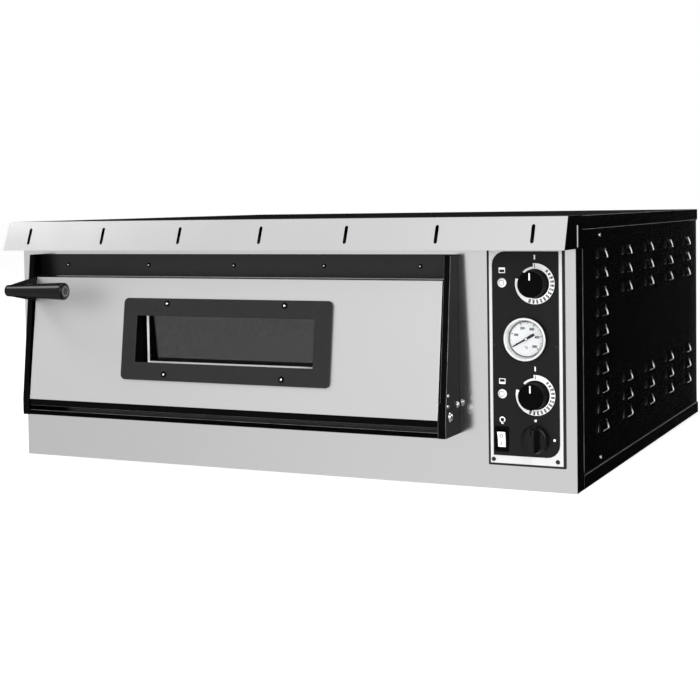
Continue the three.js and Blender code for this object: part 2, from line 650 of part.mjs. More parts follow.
function addRocker() {
  const [x, z] = ROCKER;
  const outer = rect(x - 11, x + 11, z - 19, z + 19, 2);
  const housing = joined([
    prism("y", outer, FACE - 2.2, FACE - GAP),
    box(x - 9, x + 9, FACE - 1, 24, z - 17, z + 17),
  ]);
  const well = box(x - 6.8, x + 6.8, FACE - 5, 12, z - 14, z + 14);
  const axle = rod("x", [FACE + 3, z], 1.9, x - 9.8, x + 9.8, 12);
  add("lamp_switch_housing", cut(housing, [well, axle]), BLACK_PLASTIC);

  // The rocker's lower half is pressed in, so its upper half stands proud.
  const back = FACE + 5;
  const outline = [
    [back, z - 9], [FACE - 0.8, z - 12.4], [FACE - 1.6, z - 1], [FACE - 5, z + 11.6], [back, z + 9],
  ];
  const rocker = joined([
    prism("x", outline, x - 6.2, x + 6.2),
    rod("x", [FACE + 3, z], 1.6, x - 8.6, x + 8.6, 12),
  ]);
  add("lamp_rocker", rocker, WHITE_PLASTIC);
}

addBaseTray();
addRoof();
addSidePanel("side_panel_left", -1);
addSidePanel("side_panel_right", 1);
addBackPanel();
addFascia();
addVisor();
addChamber();
addHearth();
addElements();
addLamp();
addInsulation();
addBay();
addSurround();
addDoorShell();
addWindow();
addHandle();
addPanelPlates();
addThermostats();
addMainSwitch();
addPilots();
addThermometer();
addRocker();

export default oven;
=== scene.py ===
"""Deck oven: the visual model, its materials, the studio and the camera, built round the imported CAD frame."""

import json
import math

import bmesh
import bpy
from mathutils import Matrix, Vector


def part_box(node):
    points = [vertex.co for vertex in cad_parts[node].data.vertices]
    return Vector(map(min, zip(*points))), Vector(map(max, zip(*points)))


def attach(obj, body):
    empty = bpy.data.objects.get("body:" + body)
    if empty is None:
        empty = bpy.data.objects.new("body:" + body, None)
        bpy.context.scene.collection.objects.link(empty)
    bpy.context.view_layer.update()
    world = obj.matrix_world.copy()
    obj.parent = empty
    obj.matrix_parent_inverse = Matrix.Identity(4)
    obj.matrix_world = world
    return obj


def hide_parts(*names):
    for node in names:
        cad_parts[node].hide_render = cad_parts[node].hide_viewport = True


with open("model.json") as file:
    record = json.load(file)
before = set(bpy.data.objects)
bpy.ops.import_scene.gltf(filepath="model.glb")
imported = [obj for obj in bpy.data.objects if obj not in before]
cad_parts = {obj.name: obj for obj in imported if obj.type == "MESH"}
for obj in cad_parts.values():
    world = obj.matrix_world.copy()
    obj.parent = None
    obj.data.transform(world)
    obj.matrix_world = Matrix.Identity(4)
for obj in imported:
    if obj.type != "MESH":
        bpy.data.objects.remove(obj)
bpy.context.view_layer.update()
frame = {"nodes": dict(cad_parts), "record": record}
nodes = frame["nodes"]
scene = bpy.context.scene

# Pieces are laid out in millimetres from the body's lower left front corner:
# X to the right, Y to the back, Z up. The front faces -Y.
MM = 0.001
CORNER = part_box("front_fascia")[0]
CORNER.z = 0


def at(point):
    return CORNER + MM * Vector(point)


def span(node):
    """Lowest and highest corner of a CAD node, in millimetres."""
    return tuple((corner - CORNER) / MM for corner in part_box(node))


def middle(node):
    low, high = span(node)
    return (low + high) / 2


# ---- materials

for imported in list(bpy.data.materials):  # every node and piece gets one of the finishes below
    bpy.data.materials.remove(imported)


def add_node(tree, kind, links=(), **values):
    """Adds a shader node. A value goes to the input of that name, or else to the node's own setting."""
    made = tree.nodes.new("ShaderNode" + kind)
    for key, value in values.items():
        label = key.replace("_", " ")
        if label in made.inputs:
            made.inputs[label].default_value = value
        else:
            setattr(made, key, value)
    for key, source in dict(links).items():
        tree.links.new(source, made.inputs[key])
    return made


def add_ramp(tree, value, stops, interpolation="LINEAR"):
    """Adds a colour ramp. Stops are (position, grey) or (position, colour)."""
    made = add_node(tree, "ValToRGB", {"Fac": value})
    made.color_ramp.interpolation = interpolation
    elements = made.color_ramp.elements
    elements.remove(elements[1])
    for number, (where, colour) in enumerate(stops):
        if not isinstance(colour, (list, tuple)):
            colour = (colour, colour, colour)
        if number == 0:
            elements[0].position = where
            elements[0].color = (*colour, 1)
        else:
            elements.new(where).color = (*colour, 1)
    return made.outputs["Color"]


def multiplied(tree, value, factor):
    made = add_node(tree, "Math", {0: value}, operation="MULTIPLY")
    made.inputs[1].default_value = factor
    return made.outputs[0]


class Paint:
    """A Principled material with helpers that add the nodes behind its colour, roughness and bump."""

    def __init__(self, name, colour, roughness, metallic=0.0, **constants):
        self.material = bpy.data.materials.new(name)
        self.material.use_nodes = True
        self.tree = self.material.node_tree
        self.shader = self.tree.nodes["Principled BSDF"]
        self.colour = colour
        self.set("Base Color", (*colour, 1))
        self.set("Roughness", roughness)
        self.set("Metallic", metallic)
        for key, value in constants.items():
            self.set(key.replace("_", " "), value)
        self.place = add_node(self.tree, "TexCoord").outputs["Object"]
        self.height = None

    def set(self, key, value):
        self.shader.inputs[key].default_value = value

    def noise(self, scale, detail=4.0, roughness=0.6, stretch=(1, 1, 1)):
        stretched = add_node(self.tree, "Mapping", {"Vector": self.place}, Scale=stretch).outputs[0]
        made = add_node(self.tree, "TexNoise", {"Vector": stretched},
                        Scale=scale, Detail=detail, Roughness=roughness)
        return made.outputs["Fac"]

    def cells(self, scale, output="Distance"):
        return add_node(self.tree, "TexVoronoi", {"Vector": self.place}, Scale=scale).outputs[output]

    def vary_roughness(self, value, low, high):
        made = add_node(self.tree, "MapRange", {"Value": value}, To_Min=low, To_Max=high)
        self.tree.links.new(made.outputs[0], self.shader.inputs["Roughness"])

    def vary_colour(self, value, stops):
        """Stops are (position, brightness of the base colour) or (position, colour)."""
        stops = [(p, [c * b for c in self.colour] if isinstance(b, (int, float)) else b) for p, b in stops]
        self.tree.links.new(add_ramp(self.tree, value, stops), self.shader.inputs["Base Color"])

    def bump(self, value, depth, strength=0.5):
        """Adds a bump of that depth in metres over any bump there already."""
        links = {"Height": value}
        if self.height is not None:
            links["Normal"] = self.height
        made = add_node(self.tree, "Bump", links, Strength=strength, Distance=depth)
        self.height = made.outputs["Normal"]
        self.tree.links.new(self.height, self.shader.inputs["Normal"])


def surface(name, colour, roughness, metallic=0.0, *, rough, tint=None, grain=None, **constants):
    """A finish with noise behind its roughness, its colour and its bump.

    rough is (noise, lowest, highest), tint is (noise, stops) and grain is (noise, depth in metres, strength),
    where noise is its scale, its detail and, if it isn't the usual one, its roughness.
    """
    p = Paint(name, colour, roughness, metallic, **constants)
    p.vary_roughness(p.noise(*rough[0]), *rough[1:])
    if tint:
        p.vary_colour(p.noise(*tint[0]), tint[1])
    if grain:
        p.bump(p.noise(*grain[0]), *grain[1:])
    return p.material


def stainless(name, low, high):
    """Sheet steel with a fine vertical brush and slow cloudiness, between two roughnesses."""
    p = Paint(name, (0.80, 0.80, 0.805), 0.3, 1.0)
    brush = p.noise(1.0, 5, 0.75, (2600, 2600, 26))
    cloud = p.noise(7.0, 2, 0.5)
    p.vary_colour(brush, [(0.3, 0.955), (0.7, 1.0)])
    both = add_node(p.tree, "Math", {0: brush, 1: cloud}, operation="ADD").outputs[0]
    p.vary_roughness(multiplied(p.tree, both, 0.5), low, high)
    p.bump(brush, 0.00002, 0.35)
    return p.material


def enamel(name, colour, low, high, peel, **constants):
    """Stove enamel between two roughnesses, with a slight orange peel and uneven cover."""
    return surface(name, colour, (low + high) / 2, rough=((45, 4), low, high),
                   tint=((70, 4), [(0.3, 0.75), (0.75, 1.3)]), grain=((peel, 3), 0.00003, 0.25), **constants)


def plastic(name, colour, roughness, grain=0.00003, scale=1400, **constants):
    """Moulded plastic: spark-eroded grain over slight shrinkage."""
    return surface(name, colour, roughness, rough=((110, 4), roughness * 0.82, roughness * 1.2),
                   tint=((70, 3), [(0.3, 0.93), (0.7, 1.05)]), grain=((scale, 3), grain, 0.3), **constants)


def ink(name, colour):
    """Screen-printed ink, slightly uneven at its grain."""
    return surface(name, colour, 0.5, rough=((500, 3), 0.42, 0.6),
                   tint=((1800, 4), [(0.3, 0.93), (0.7, 1.02)]), grain=((2600, 2), 0.00001, 0.3))


def aluminised_steel():
    p = Paint("aluminised_steel", (0.52, 0.53, 0.53), 0.42, 1.0)
    spangle = p.cells(130, "Color")
    grey = add_node(p.tree, "RGBToBW", {"Color": spangle}).outputs[0]
    p.vary_colour(grey, [(0.2, 0.82), (0.8, 1.06)])
    p.vary_roughness(p.noise(40, 4), 0.34, 0.56)
    p.bump(grey, 0.00002, 0.3)
    return p.material


def refractory():
    """Cordierite stone: buff, speckled, open-grained."""
    p = Paint("refractory", (0.50, 0.43, 0.33), 0.93)
    p.vary_colour(p.noise(520, 6, 0.75), [
        (0.32, (0.27, 0.22, 0.16)), (0.5, (0.47, 0.40, 0.30)), (0.72, (0.62, 0.55, 0.44))])
    p.vary_roughness(p.noise(90, 4), 0.84, 0.99)
    p.bump(p.noise(700, 6, 0.7), 0.0005, 0.6)
    p.bump(p.noise(9, 3), 0.0006, 0.5)
    return p.material


def mineral_wool():
    p = Paint("mineral_wool", (0.62, 0.55, 0.36), 1.0)
    fibres = p.noise(60, 8, 0.8, (1, 6, 9))
    p.vary_colour(fibres, [(0.3, 0.55), (0.7, 1.15)])
    p.set("Sheen Weight", 0.3)
    p.bump(fibres, 0.004, 0.8)
    return p.material


def control_film():
    """Dark printed foil with a fine leather texture."""
    p = Paint("control_film", (0.005, 0.005, 0.0058), 0.38, Specular_IOR_Level=0.25)
    p.vary_roughness(p.noise(45, 3), 0.33, 0.45)
    p.vary_colour(p.noise(900, 3), [(0.3, 0.8), (0.7, 1.2)])
    p.bump(p.cells(1500), 0.00003, 0.3)
    return p.material


MATERIALS = [
    stainless("stainless", 0.08, 0.26),
    stainless("coarse_stainless", 0.40, 0.56),
    # The panel's plate: finely bead-blasted, brighter and greyer than the sheet steel.
    surface("satin_aluminium", (0.86, 0.86, 0.86), 0.4, 0.5, rough=((60, 3), 0.34, 0.5),
            tint=((1500, 3), [(0.3, 0.96), (0.7, 1.0)]), grain=((2200, 3), 0.00001, 0.3)),
    # Deburred and polished edges of the stainless sheets, with a near-white diffuse share that is a painted
    # highlight: it makes the edges glow as light lines.
    surface("polished_edge", (0.96, 0.96, 0.96), 0.3, 0.45, rough=((200, 3), 0.24, 0.4),
            tint=((150, 3), [(0.3, 0.94), (0.7, 1.0)]), grain=((1800, 3), 0.00001, 0.3)),
    # Lighter grey on folded corners and edges of the painted sheet: partly paint rubbed thin with the steel
    # showing through in places, partly a painted highlight for the light lines these edges catch.
    surface("worn_edge", (0.16, 0.16, 0.165), 0.45, 0.35, rough=((90, 4), 0.36, 0.56),
            tint=((26, 5, 0.7), [(0.32, 0.35), (0.62, 1.25)]), grain=((700, 3), 0.00003, 0.4)),
    # Polished, nickel-plated metal with fine turning marks.
    surface("bright_metal", (0.86, 0.86, 0.86), 0.14, 1.0, rough=((300, 5), 0.09, 0.24),
            tint=((200, 3), [(0.3, 0.93), (0.7, 1.02)]), grain=((1200, 3), 0.00001, 0.3)),
    # Blackened screws and rivets.
    surface("black_steel", (0.010, 0.010, 0.011), 0.34, 0.2, rough=((700, 4), 0.26, 0.46),
            tint=((500, 4), [(0.3, 0.7), (0.75, 1.5)]), grain=((1500, 3), 0.00002, 0.4)),
    # Heat-stained stainless sheath.
    surface("element_sheath", (0.24, 0.21, 0.19), 0.5, 0.85, rough=((120, 5), 0.38, 0.62),
            tint=((28, 4), [(0.3, (0.13, 0.11, 0.1)), (0.55, (0.26, 0.21, 0.17)), (0.8, (0.3, 0.28, 0.31))]),
            grain=((900, 3), 0.00004, 0.4)),
    aluminised_steel(),
    refractory(),
    mineral_wool(),
    surface("oven_glass", (0.28, 0.285, 0.285), 0.02, rough=((14, 3), 0.0, 0.012),
            tint=((9, 3), [(0.3, 0.985), (0.7, 1.0)]), Transmission_Weight=1.0, IOR=1.64),
    surface("gauge_glass", (0.97, 0.98, 0.98), 0.01, rough=((60, 3), 0.0, 0.02),
            Transmission_Weight=1.0, IOR=1.3),
    enamel("black_paint", (0.0014, 0.0014, 0.0015), 0.06, 0.12, 380, Specular_IOR_Level=0.42),
    enamel("roof_paint", (0.0024, 0.0024, 0.0026), 0.5, 0.62, 380, Specular_IOR_Level=0.06),
    enamel("frame_paint", (0.006, 0.006, 0.0065), 0.3, 0.44, 900),
    enamel("sill_paint", (0.0006, 0.0006, 0.0007), 0.3, 0.42, 900, Specular_IOR_Level=0.02),
    enamel("deep_black", (0.001, 0.001, 0.0011), 0.26, 0.4, 900, Specular_IOR_Level=0.05),
    control_film(),
    plastic("needle_black", (0.002, 0.002, 0.002), 0.5, 0.00001, Specular_IOR_Level=0.1),
    plastic("black_plastic", (0.0018, 0.0018, 0.002), 0.5, Specular_IOR_Level=0.03),
    plastic("gloss_plastic", (0.002, 0.002, 0.0022), 0.14, 0.00001, 500, Specular_IOR_Level=0.3),
    plastic("grip_black", (0.0016, 0.0016, 0.0018), 0.15, 0.00001, 500, Specular_IOR_Level=0.28),
    plastic("white_plastic", (0.93, 0.93, 0.92), 0.26, 0.00002),
    plastic("beige_plastic", (0.48, 0.43, 0.34), 0.5),
    # Black rubber, used for the band round the control plate and the ring round the dial: both stand for the
    # shade in gaps there, painted shade.
    plastic("rubber", (0.006, 0.006, 0.006), 0.62, 0.00005, 900),
    ink("white_ink", (0.95, 0.95, 0.95)),
    # Grey for the faces of the pilot lenses' grooves: painted shade in the grooves.
    ink("grey_ink", (0.42, 0.42, 0.42)),
    ink("black_ink", (0.006, 0.006, 0.007)),
    ink("dial_white", (0.93, 0.93, 0.94)),
]
FINISH = {material.name: material for material in MATERIALS}

# ---- mesh helpers


def mesh_from(bm, name, finishes, crease=40):
    """Closes a bmesh into a mesh with smooth shading up to the crease angle."""
    bmesh.ops.recalc_face_normals(bm, faces=bm.faces)
    mesh = bpy.data.meshes.new(name)
    bm.to_mesh(mesh)
    bm.free()
    mesh.polygons.foreach_set("use_smooth", [True] * len(mesh.polygons))
    mesh.set_sharp_from_angle(angle=math.radians(crease))
    for finish in finishes:
        mesh.materials.append(FINISH[finish])
    return mesh


def show(name, mesh, body, stands_for=()):
    """Puts a mesh in the scene as a piece that rides on a body."""
    obj = bpy.data.objects.new(name, mesh)
    scene.collection.objects.link(obj)
    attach(obj, body)
    if stands_for:
        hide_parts(*stands_for)
    return obj


def even_normals(obj):
    weighted = obj.modifiers.new("even_normals", "WEIGHTED_NORMAL")
    weighted.keep_sharp = True
    return obj


def built(name, bm, finishes, body, stands_for=(), crease=40):
    if isinstance(finishes, str):
        finishes = [finishes]
    return even_normals(show(name, mesh_from(bm, name, finishes, crease), body, stands_for))


def round_edges(bm, width, segments=2, sharp=30):
    edges = [e for e in bm.edges if len(e.link_faces) == 2 and e.calc_face_angle(0) > math.radians(sharp)]
    bmesh.ops.bevel(bm, geom=edges, offset=width * MM, offset_type="OFFSET", segments=segments,
                    profile=0.5, affect="EDGES", clamp_overlap=True)


def copy_of(node):
    """A CAD node's surface as a clean bmesh: welded, with its flat faces whole."""
    source = nodes[node].data
    bm = bmesh.new()
    verts = [bm.verts.new(v.co) for v in source.vertices]
    for polygon in source.polygons:
        bm.faces.new([verts[i] for i in polygon.vertices])
    bmesh.ops.remove_doubles(bm, verts=bm.verts, dist=0.02 * MM)
    bmesh.ops.dissolve_limit(bm, angle_limit=math.radians(1), verts=bm.verts, edges=bm.edges)
    return bm


def softened(node, finish, body, width=0.5, segments=2, paint=None):
    """A CAD node with its edges rounded, as folded and deburred sheet has them.

    paint is an optional list of (finish, test of a face's centre and normal) for faces in another finish.
    """
    bm = copy_of(node)
    round_edges(bm, width, segments)
    bm.normal_update()
    finishes = [finish]
    for other, test in paint or []:
        finishes.append(other)
        for face in bm.faces:
            centre = (face.calc_center_median() - CORNER) / MM
            if test(centre, face.normal):
                face.material_index = len(finishes) - 1
    return built(node + "_finished", bm, finishes, body, [node])


AXES = {
    "x": lambda u, v, w: (w, u, v),
    "y": lambda u, v, w: (u, w, v),
    "z": lambda u, v, w: (u, v, w),
}


def turn(bm, profile, centre, axis="y", steps=48, shape=None):
    """Adds a closed turned body.

    The profile is (radius, distance along the axis) and starts and ends on the axis.
    shape(radius, along, angle) may change the radius, for flutes.
    """
    centre = Vector(centre)
    rings = []
    for radius, along in profile:
        if radius < 1e-6:
            rings.append([bm.verts.new(at(centre + Vector(AXES[axis](0, 0, along))))])
            continue
        ring = []
        for k in range(steps):
            t = 2 * math.pi * k / steps
            r = shape(radius, along, t) if shape else radius
            point = Vector(AXES[axis](r * math.sin(t), r * math.cos(t), along))
            ring.append(bm.verts.new(at(centre + point)))
        rings.append(ring)
    for a, b in zip(rings, rings[1:]):
        for k in range(steps):
            n = (k + 1) % steps
            corners = [a[k % len(a)], a[n % len(a)], b[n % len(b)], b[k % len(b)]]
            unique = list(dict.fromkeys(corners))
            if len(unique) > 2:
                bm.faces.new(unique)
    return bm


def fillet(points, radius, steps=4):
    """Rounds the corners of an open line of 2D points."""
    out = [tuple(points[0])]
    for a, b, c in zip(points, points[1:], points[2:]):
        b = Vector(b)
        to_a, to_c = Vector(a) - b, Vector(c) - b
        reach = min(radius, to_a.length * 0.48, to_c.length * 0.48)
        p, q = b + to_a.normalized() * reach, b + to_c.normalized() * reach
        for k in range(steps + 1):
            t = k / steps
            out.append(tuple((1 - t) ** 2 * p + 2 * t * (1 - t) * b + t**2 * q))
    out.append(tuple(points[-1]))
    return out


def prism(bm, outline, low, high, axis="y"):
    """Adds a straight extrusion of a closed outline along an axis."""
    ends = [[bm.verts.new(at(AXES[axis](u, v, w))) for u, v in outline] for w in (low, high)]
    bm.faces.new(ends[0])
    bm.faces.new(ends[1][::-1])
    for k in range(len(outline)):
        n = (k + 1) % len(outline)
        bm.faces.new([ends[0][k], ends[1][k], ends[1][n], ends[0][n]])
    return bm


def band(bm, outer, inner, low, high, axis="y", closed=True):
    """Adds a solid strip between two outlines of equal length, such as a frame or a ring."""
    count = len(outer)
    out_low, in_low, out_high, in_high = [
        [bm.verts.new(at(AXES[axis](u, v, w))) for u, v in line]
        for w in (low, high) for line in (outer, inner)
    ]
    for k in range(count if closed else count - 1):
        n = (k + 1) % count
        bm.faces.new([out_low[k], out_low[n], in_low[n], in_low[k]])
        bm.faces.new([out_high[k], in_high[k], in_high[n], out_high[n]])
        bm.faces.new([out_low[k], out_high[k], out_high[n], out_low[n]])
        bm.faces.new([in_low[k], in_low[n], in_high[n], in_high[k]])
    if not closed:
        for k in (0, count - 1):
            bm.faces.new([out_low[k], in_low[k], in_high[k], out_high[k]])
    return bm


def rectangle(x0, x1, z0, z1, radius=0.0, steps=5):
    """Outline of a rectangle. radius is one number, or one for each corner from the lower left round."""
    radii = radius if isinstance(radius, (list, tuple)) else [radius] * 4
    corners = [(x0, z0, 1, 1, 180), (x1, z0, -1, 1, 270), (x1, z1, -1, -1, 0), (x0, z1, 1, -1, 90)]
    out = []
    for (x, z, sx, sz, start), r in zip(corners, radii):
        for k in range(steps + 1):
            t = math.radians(start + 90 * k / steps)
            out.append((x + sx * r + r * math.cos(t), z + sz * r + r * math.sin(t)))
    if all(r == 0 for r in radii):
        return [(x0, z0), (x1, z0), (x1, z1), (x0, z1)]
    return out


def arc(centre, radius, start, end, steps):
    """Points on a circle, clockwise from twelve o'clock as seen from the front, in degrees."""
    out = []
    for k in range(steps + 1):
        t = math.radians(start + (end - start) * k / steps)
        out.append((centre[0] + radius * math.sin(t), centre[1] + radius * math.cos(t)))
    return out


def printed(name, words, size, centre, front, turn_by, bold):
    """Mesh of a number, raised a hair above its face. turn_by is clockwise in degrees."""
    thick = 0.05
    curve = bpy.data.curves.new(name, "FONT")
    curve.body = words
    curve.size = size * MM
    curve.align_x = "CENTER"
    curve.align_y = "CENTER"
    curve.extrude = thick * MM / 2
    curve.offset = bold * MM
    curve.resolution_u = 3
    holder = bpy.data.objects.new(name, curve)
    scene.collection.objects.link(holder)
    bpy.context.view_layer.update()
    mesh = bpy.data.meshes.new_from_object(holder.evaluated_get(bpy.context.evaluated_depsgraph_get()))
    bpy.data.objects.remove(holder)
    bpy.data.curves.remove(curve)
    upright = Matrix.Rotation(math.radians(90), 4, "X")
    leaning = Matrix.Rotation(math.radians(turn_by), 4, "Y")
    mesh.transform(Matrix.Translation(at((centre[0], front, centre[1]))) @ leaning @ upright)
    return mesh


def gathered(name, meshes, finish, body):
    """Joins several meshes of one finish into one piece."""
    bm = bmesh.new()
    for mesh in meshes:
        bm.from_mesh(mesh)
        bpy.data.meshes.remove(mesh)
    return show(name, mesh_from(bm, name, [finish]), body)


def fastener(bm, seat, axis, out, radius, tall, drive=0.45, washer=0.0, tilt=0.0, steps=36):
    """Adds a button head on its seat.

    out is +1 or -1 along the axis, washer is a washer's radius and drive is the socket's share of the radius.
    """
    base = 0.9 if washer else 0.0
    profile = [(0, 0)]
    if washer:
        profile += [(washer, 0), (washer, base - 0.25), (washer - 0.25, base)]
    profile += [
        (radius, base), (radius, base + tall * 0.3), (radius * 0.93, base + tall * 0.55),
        (radius * 0.78, base + tall * 0.82), (radius * 0.58, base + tall * 0.96),
    ]
    hexagon = radius * drive
    if drive:
        profile += [(hexagon + 0.15, base + tall), (hexagon, base + tall - 0.1)]
        profile += [(hexagon * 0.96, base + tall * 0.4), (0, base + tall * 0.35)]
    else:
        profile += [(radius * 0.3, base + tall), (0, base + tall)]

    def shape(r, along, t):
        if drive and r <= hexagon + 1e-6:
            sixth = math.pi / 3
            return r / math.cos((t % sixth) - sixth / 2)
        return r

    first = len(bm.verts)
    turn(bm, [(r, along * out) for r, along in profile], seat, axis, steps, shape)
    if tilt:
        bm.verts.ensure_lookup_table()
        tilted = Matrix.Rotation(math.radians(tilt), 3, "X")
        bmesh.ops.rotate(bm, verts=bm.verts[first:], cent=at(seat), matrix=tilted)


def fasteners(name, seats, axis, out, radius, tall, drive, finish, slot, body="oven_body", **form):
    """One piece of several like fasteners."""
    bm = bmesh.new()
    for seat in seats:
        fastener(bm, seat, axis, out, radius, tall, drive, **form)
    built(name, bm, finish, body)


def turned(name, profile, centre, axis, steps, finish, body, stands_for=(), crease=40):
    """One turned piece."""
    built(name, turn(bmesh.new(), profile, centre, axis, steps), finish, body, stands_for, crease)


# ---- outer shell

BODY = "oven_body"
fascia_high = span("front_fascia")[1]
WIDTH = fascia_high.x
HEIGHT = span("roof_panel")[1].z


# The end faces of the stainless fascia and visor take black paint: a painted dark reflection, standing for the
# dark studio these stainless ends mirror.
def ends_in_painted_dark_reflection(centre, normal):
    return abs(normal.x) > 0.9 and not 0.7 < centre.x < WIDTH - 0.7


def slanting(normal):
    """True of a rounded edge: its normal lies between the sheet's own directions."""
    return max(abs(c) for c in normal) < 0.985


# The fascia's rounded front edges take the near-white polished finish: a painted highlight for the light line
# along them.
def front_edge(centre, normal):
    return slanting(normal) and normal.y < -0.05 and centre.y < 1.2


# The rear edges of the fascia's and visor's side returns take the lighter grey: a painted highlight for the
# light line at the seam with the side panel.
def rear_edge_of_return(centre, normal):
    return normal.y > 0.15 and centre.y > fascia_high.y - 0.8 and not 1 < centre.x < WIDTH - 1


# The tray's upstand top edge and its front rounded edges take the lighter grey: a painted highlight for the
# light lines along them.
def tray_edge(centre, normal):
    return centre.z > 20 and normal.z > 0.1 or slanting(normal) and centre.y < 39


def visor_slope(normal):
    """True of the visor's sloping face and the bevels of its slots, which share its tilt."""
    return normal.y < -0.9 and abs(normal.x) < 0.1


# The visor's front edges take the near-white polished finish: a painted highlight for the light line along
# them.
def visor_front_edge(centre, normal):
    return centre.y < -36.5 and normal.y < -0.05 and not visor_slope(normal)


# The visor's underside and inner faces take near-black paint, so that the fascia below it mirrors a dark band:
# painted shade for the shade under the visor.
def visor_inside_painted_shade(centre, normal):
    return normal.z < -0.7 or normal.y > 0.5 and centre.y < 20


softened("front_fascia", "stainless", BODY, 0.6, paint=[
    ("polished_edge", front_edge), ("black_paint", ends_in_painted_dark_reflection), ("worn_edge", rear_edge_of_return)])
softened("visor", "stainless", BODY, 0.8, 3, paint=[
    ("deep_black", visor_inside_painted_shade), ("polished_edge", visor_front_edge), ("black_paint", ends_in_painted_dark_reflection),
    ("worn_edge", rear_edge_of_return)])
# The roof flange's rounded edges take the lighter grey: a painted highlight for the light line along the
# flange's lower edge.
softened("roof_panel", "black_paint", BODY, 1.0, 2, paint=[
    ("roof_paint", lambda centre, normal: normal.z > 0.9),
    ("worn_edge", lambda centre, normal: slanting(normal) and abs(normal.z) > 0.05)])
softened("base_tray", "black_paint", BODY, 0.7, 3, paint=[("worn_edge", tray_edge)])
softened("back_panel", "black_paint", BODY, 0.35)

visor_low, visor_high = span("visor")


def end_strip(name, outline, reach, rounding, finish):
    """Adds a thin upright strip on an end face of the shell, between the two X of its reach."""
    strip = bmesh.new()
    prism(strip, outline, *sorted(reach), axis="x")
    round_edges(strip, rounding)
    built(name, strip, finish, BODY)


# Thin strips on the shell's ends: the polished ones on the visor's ends and the grey hems at the fascia's
# returns are painted highlights, for the light lines at these seams.
for side, x, out in (("left", 0, -1), ("right", WIDTH, 1)):
    end_strip(f"visor_seam_{side}", rectangle(9.6, 11.2, visor_low.z + 2, visor_high.z - 14, 0.6),
              (x + out * 0.02, x + out * 0.7), 0.2, "polished_edge")
    hem = rectangle(fascia_high.y - 1.6, fascia_high.y - 0.5, 26, visor_low.z - 1, 0.4)
    end_strip(f"return_hem_{side}", hem, (x - out * 0.1, x + out * 0.45), 0.15, "worn_edge")

# Side panels: sheet with pressed louvres, each sheared along its lower edge and pushed out.
LOUVRE_LONG, LOUVRE_TALL, LOUVRE_PROUD = 64, 15, 5
LOUVRE_COLUMNS = [152 + 160 * k for k in range(5)]
LOUVRE_ROWS = [352.3 - 30.1 * k for k in range(10)]
FULL_COLUMN_ROWS = (0, 1, 2, 7, 8, 9)
ALONG = (0.2, 0.4, 0.5, 0.56, 0.62, 0.68, 0.74, 0.8, 0.85, 0.89, 0.92, 0.945, 0.965, 0.98, 0.99, 1.0)
DOWN = (0, 0.04, 0.1, 0.18, 0.27, 0.37, 0.48, 0.6, 0.7, 0.85, 1)
MARGIN = 1.4  # of flat sheet round each louvre, so that the pressing does not shade its surroundings


def half_length(down):
    """The louvre is longer at its lower, open edge."""
    return LOUVRE_LONG / 2 - 8 + 8 * down


def hood(along, down):
    """How far the pressed hood stands out, at shares of its half length and of its height.

    Its outer half falls away slowly up to the shoulder and then curves in to the sheet.
    """
    shoulder, slope = 0.72, 0.36
    rise = math.sin(0.5 * math.pi * down)
    past = (along - 0.5) / 0.5
    if past <= 0:
        fall = 1.0
    elif past < shoulder:
        fall = 1 - slope * past
    else:
        fall = (1 - slope * shoulder) * math.sqrt(max(0, 1 - ((past - shoulder) / (1 - shoulder)) ** 2))
    return (LOUVRE_PROUD - 0.1) * rise * fall


def louvred_panel(side, out):
    node = f"side_panel_{side}"
    low, high = span(node)
    flat = (high.x if out > 0 else low.x) - out * LOUVRE_PROUD
    columns = [None]
    for number in range(len(LOUVRE_COLUMNS)):
        columns += [(number, -MARGIN)] + [(number, -a) for a in ALONG[::-1]] + [(number, a) for a in ALONG]
        columns += [(number, MARGIN)]
    columns.append(None)
    rows = [(low.z, None, 0), (low.z + MARGIN, None, 0)]
    for number in range(len(LOUVRE_ROWS) - 1, -1, -1):
        top = LOUVRE_ROWS[number] + LOUVRE_TALL / 2
        rows += [(top - LOUVRE_TALL - MARGIN, None, 1)]
        rows += [(top - LOUVRE_TALL * d, number, d) for d in DOWN[::-1]]
        rows += [(top + MARGIN, None, 0)]
    rows += [(high.z - MARGIN, None, 0), (high.z, None, 0)]

    def place(column, i, down):
        """Y of a grid line, which follows the slanting ends of the louvres."""
        if column is None:
            return low.y if i == 0 else high.y
        number, along = column
        if abs(along) > 1:
            return LOUVRE_COLUMNS[number] + math.copysign(LOUVRE_LONG / 2 + MARGIN, along)
        return LOUVRE_COLUMNS[number] + along * half_length(down)

    bm = bmesh.new()
    grid, lips = {}, {}
    for i, column in enumerate(columns):
        for j, (z, row, down) in enumerate(rows):
            y = place(column, i, down)
            pressed = column is not None and row is not None and (column[0] == 0 or row in FULL_COLUMN_ROWS)
            proud = hood(abs(column[1]), down) if pressed and abs(column[1]) < 1 else 0.0
            if down == 1 and row is not None and proud > 0:
                lips[i, j] = bm.verts.new(at((flat + out * proud, y, z)))
                proud = 0.0
            grid[i, j] = bm.verts.new(at((flat + out * proud, y, z)))
    for i in range(len(columns) - 1):
        for j in range(len(rows) - 1):
            lower = [lips.get((k, j), grid[k, j]) for k in (i, i + 1)]
            corners = [lower[0], lower[1], grid[i + 1, j + 1], grid[i, j + 1]]
            bm.faces.new(corners if out > 0 else corners[::-1])
    mesh = bpy.data.meshes.new(f"louvred_panel_{side}")
    bm.to_mesh(mesh)
    bm.free()
    mesh.polygons.foreach_set("use_smooth", [True] * len(mesh.polygons))
    mesh.materials.append(FINISH["black_paint"])
    obj = show(f"louvred_panel_{side}", mesh, BODY, [node])
    sheet = obj.modifiers.new("sheet", "SOLIDIFY")
    sheet.thickness = 1.2 * MM
    sheet.offset = -1
    sheet.use_rim = True
    even_normals(obj)
    return flat


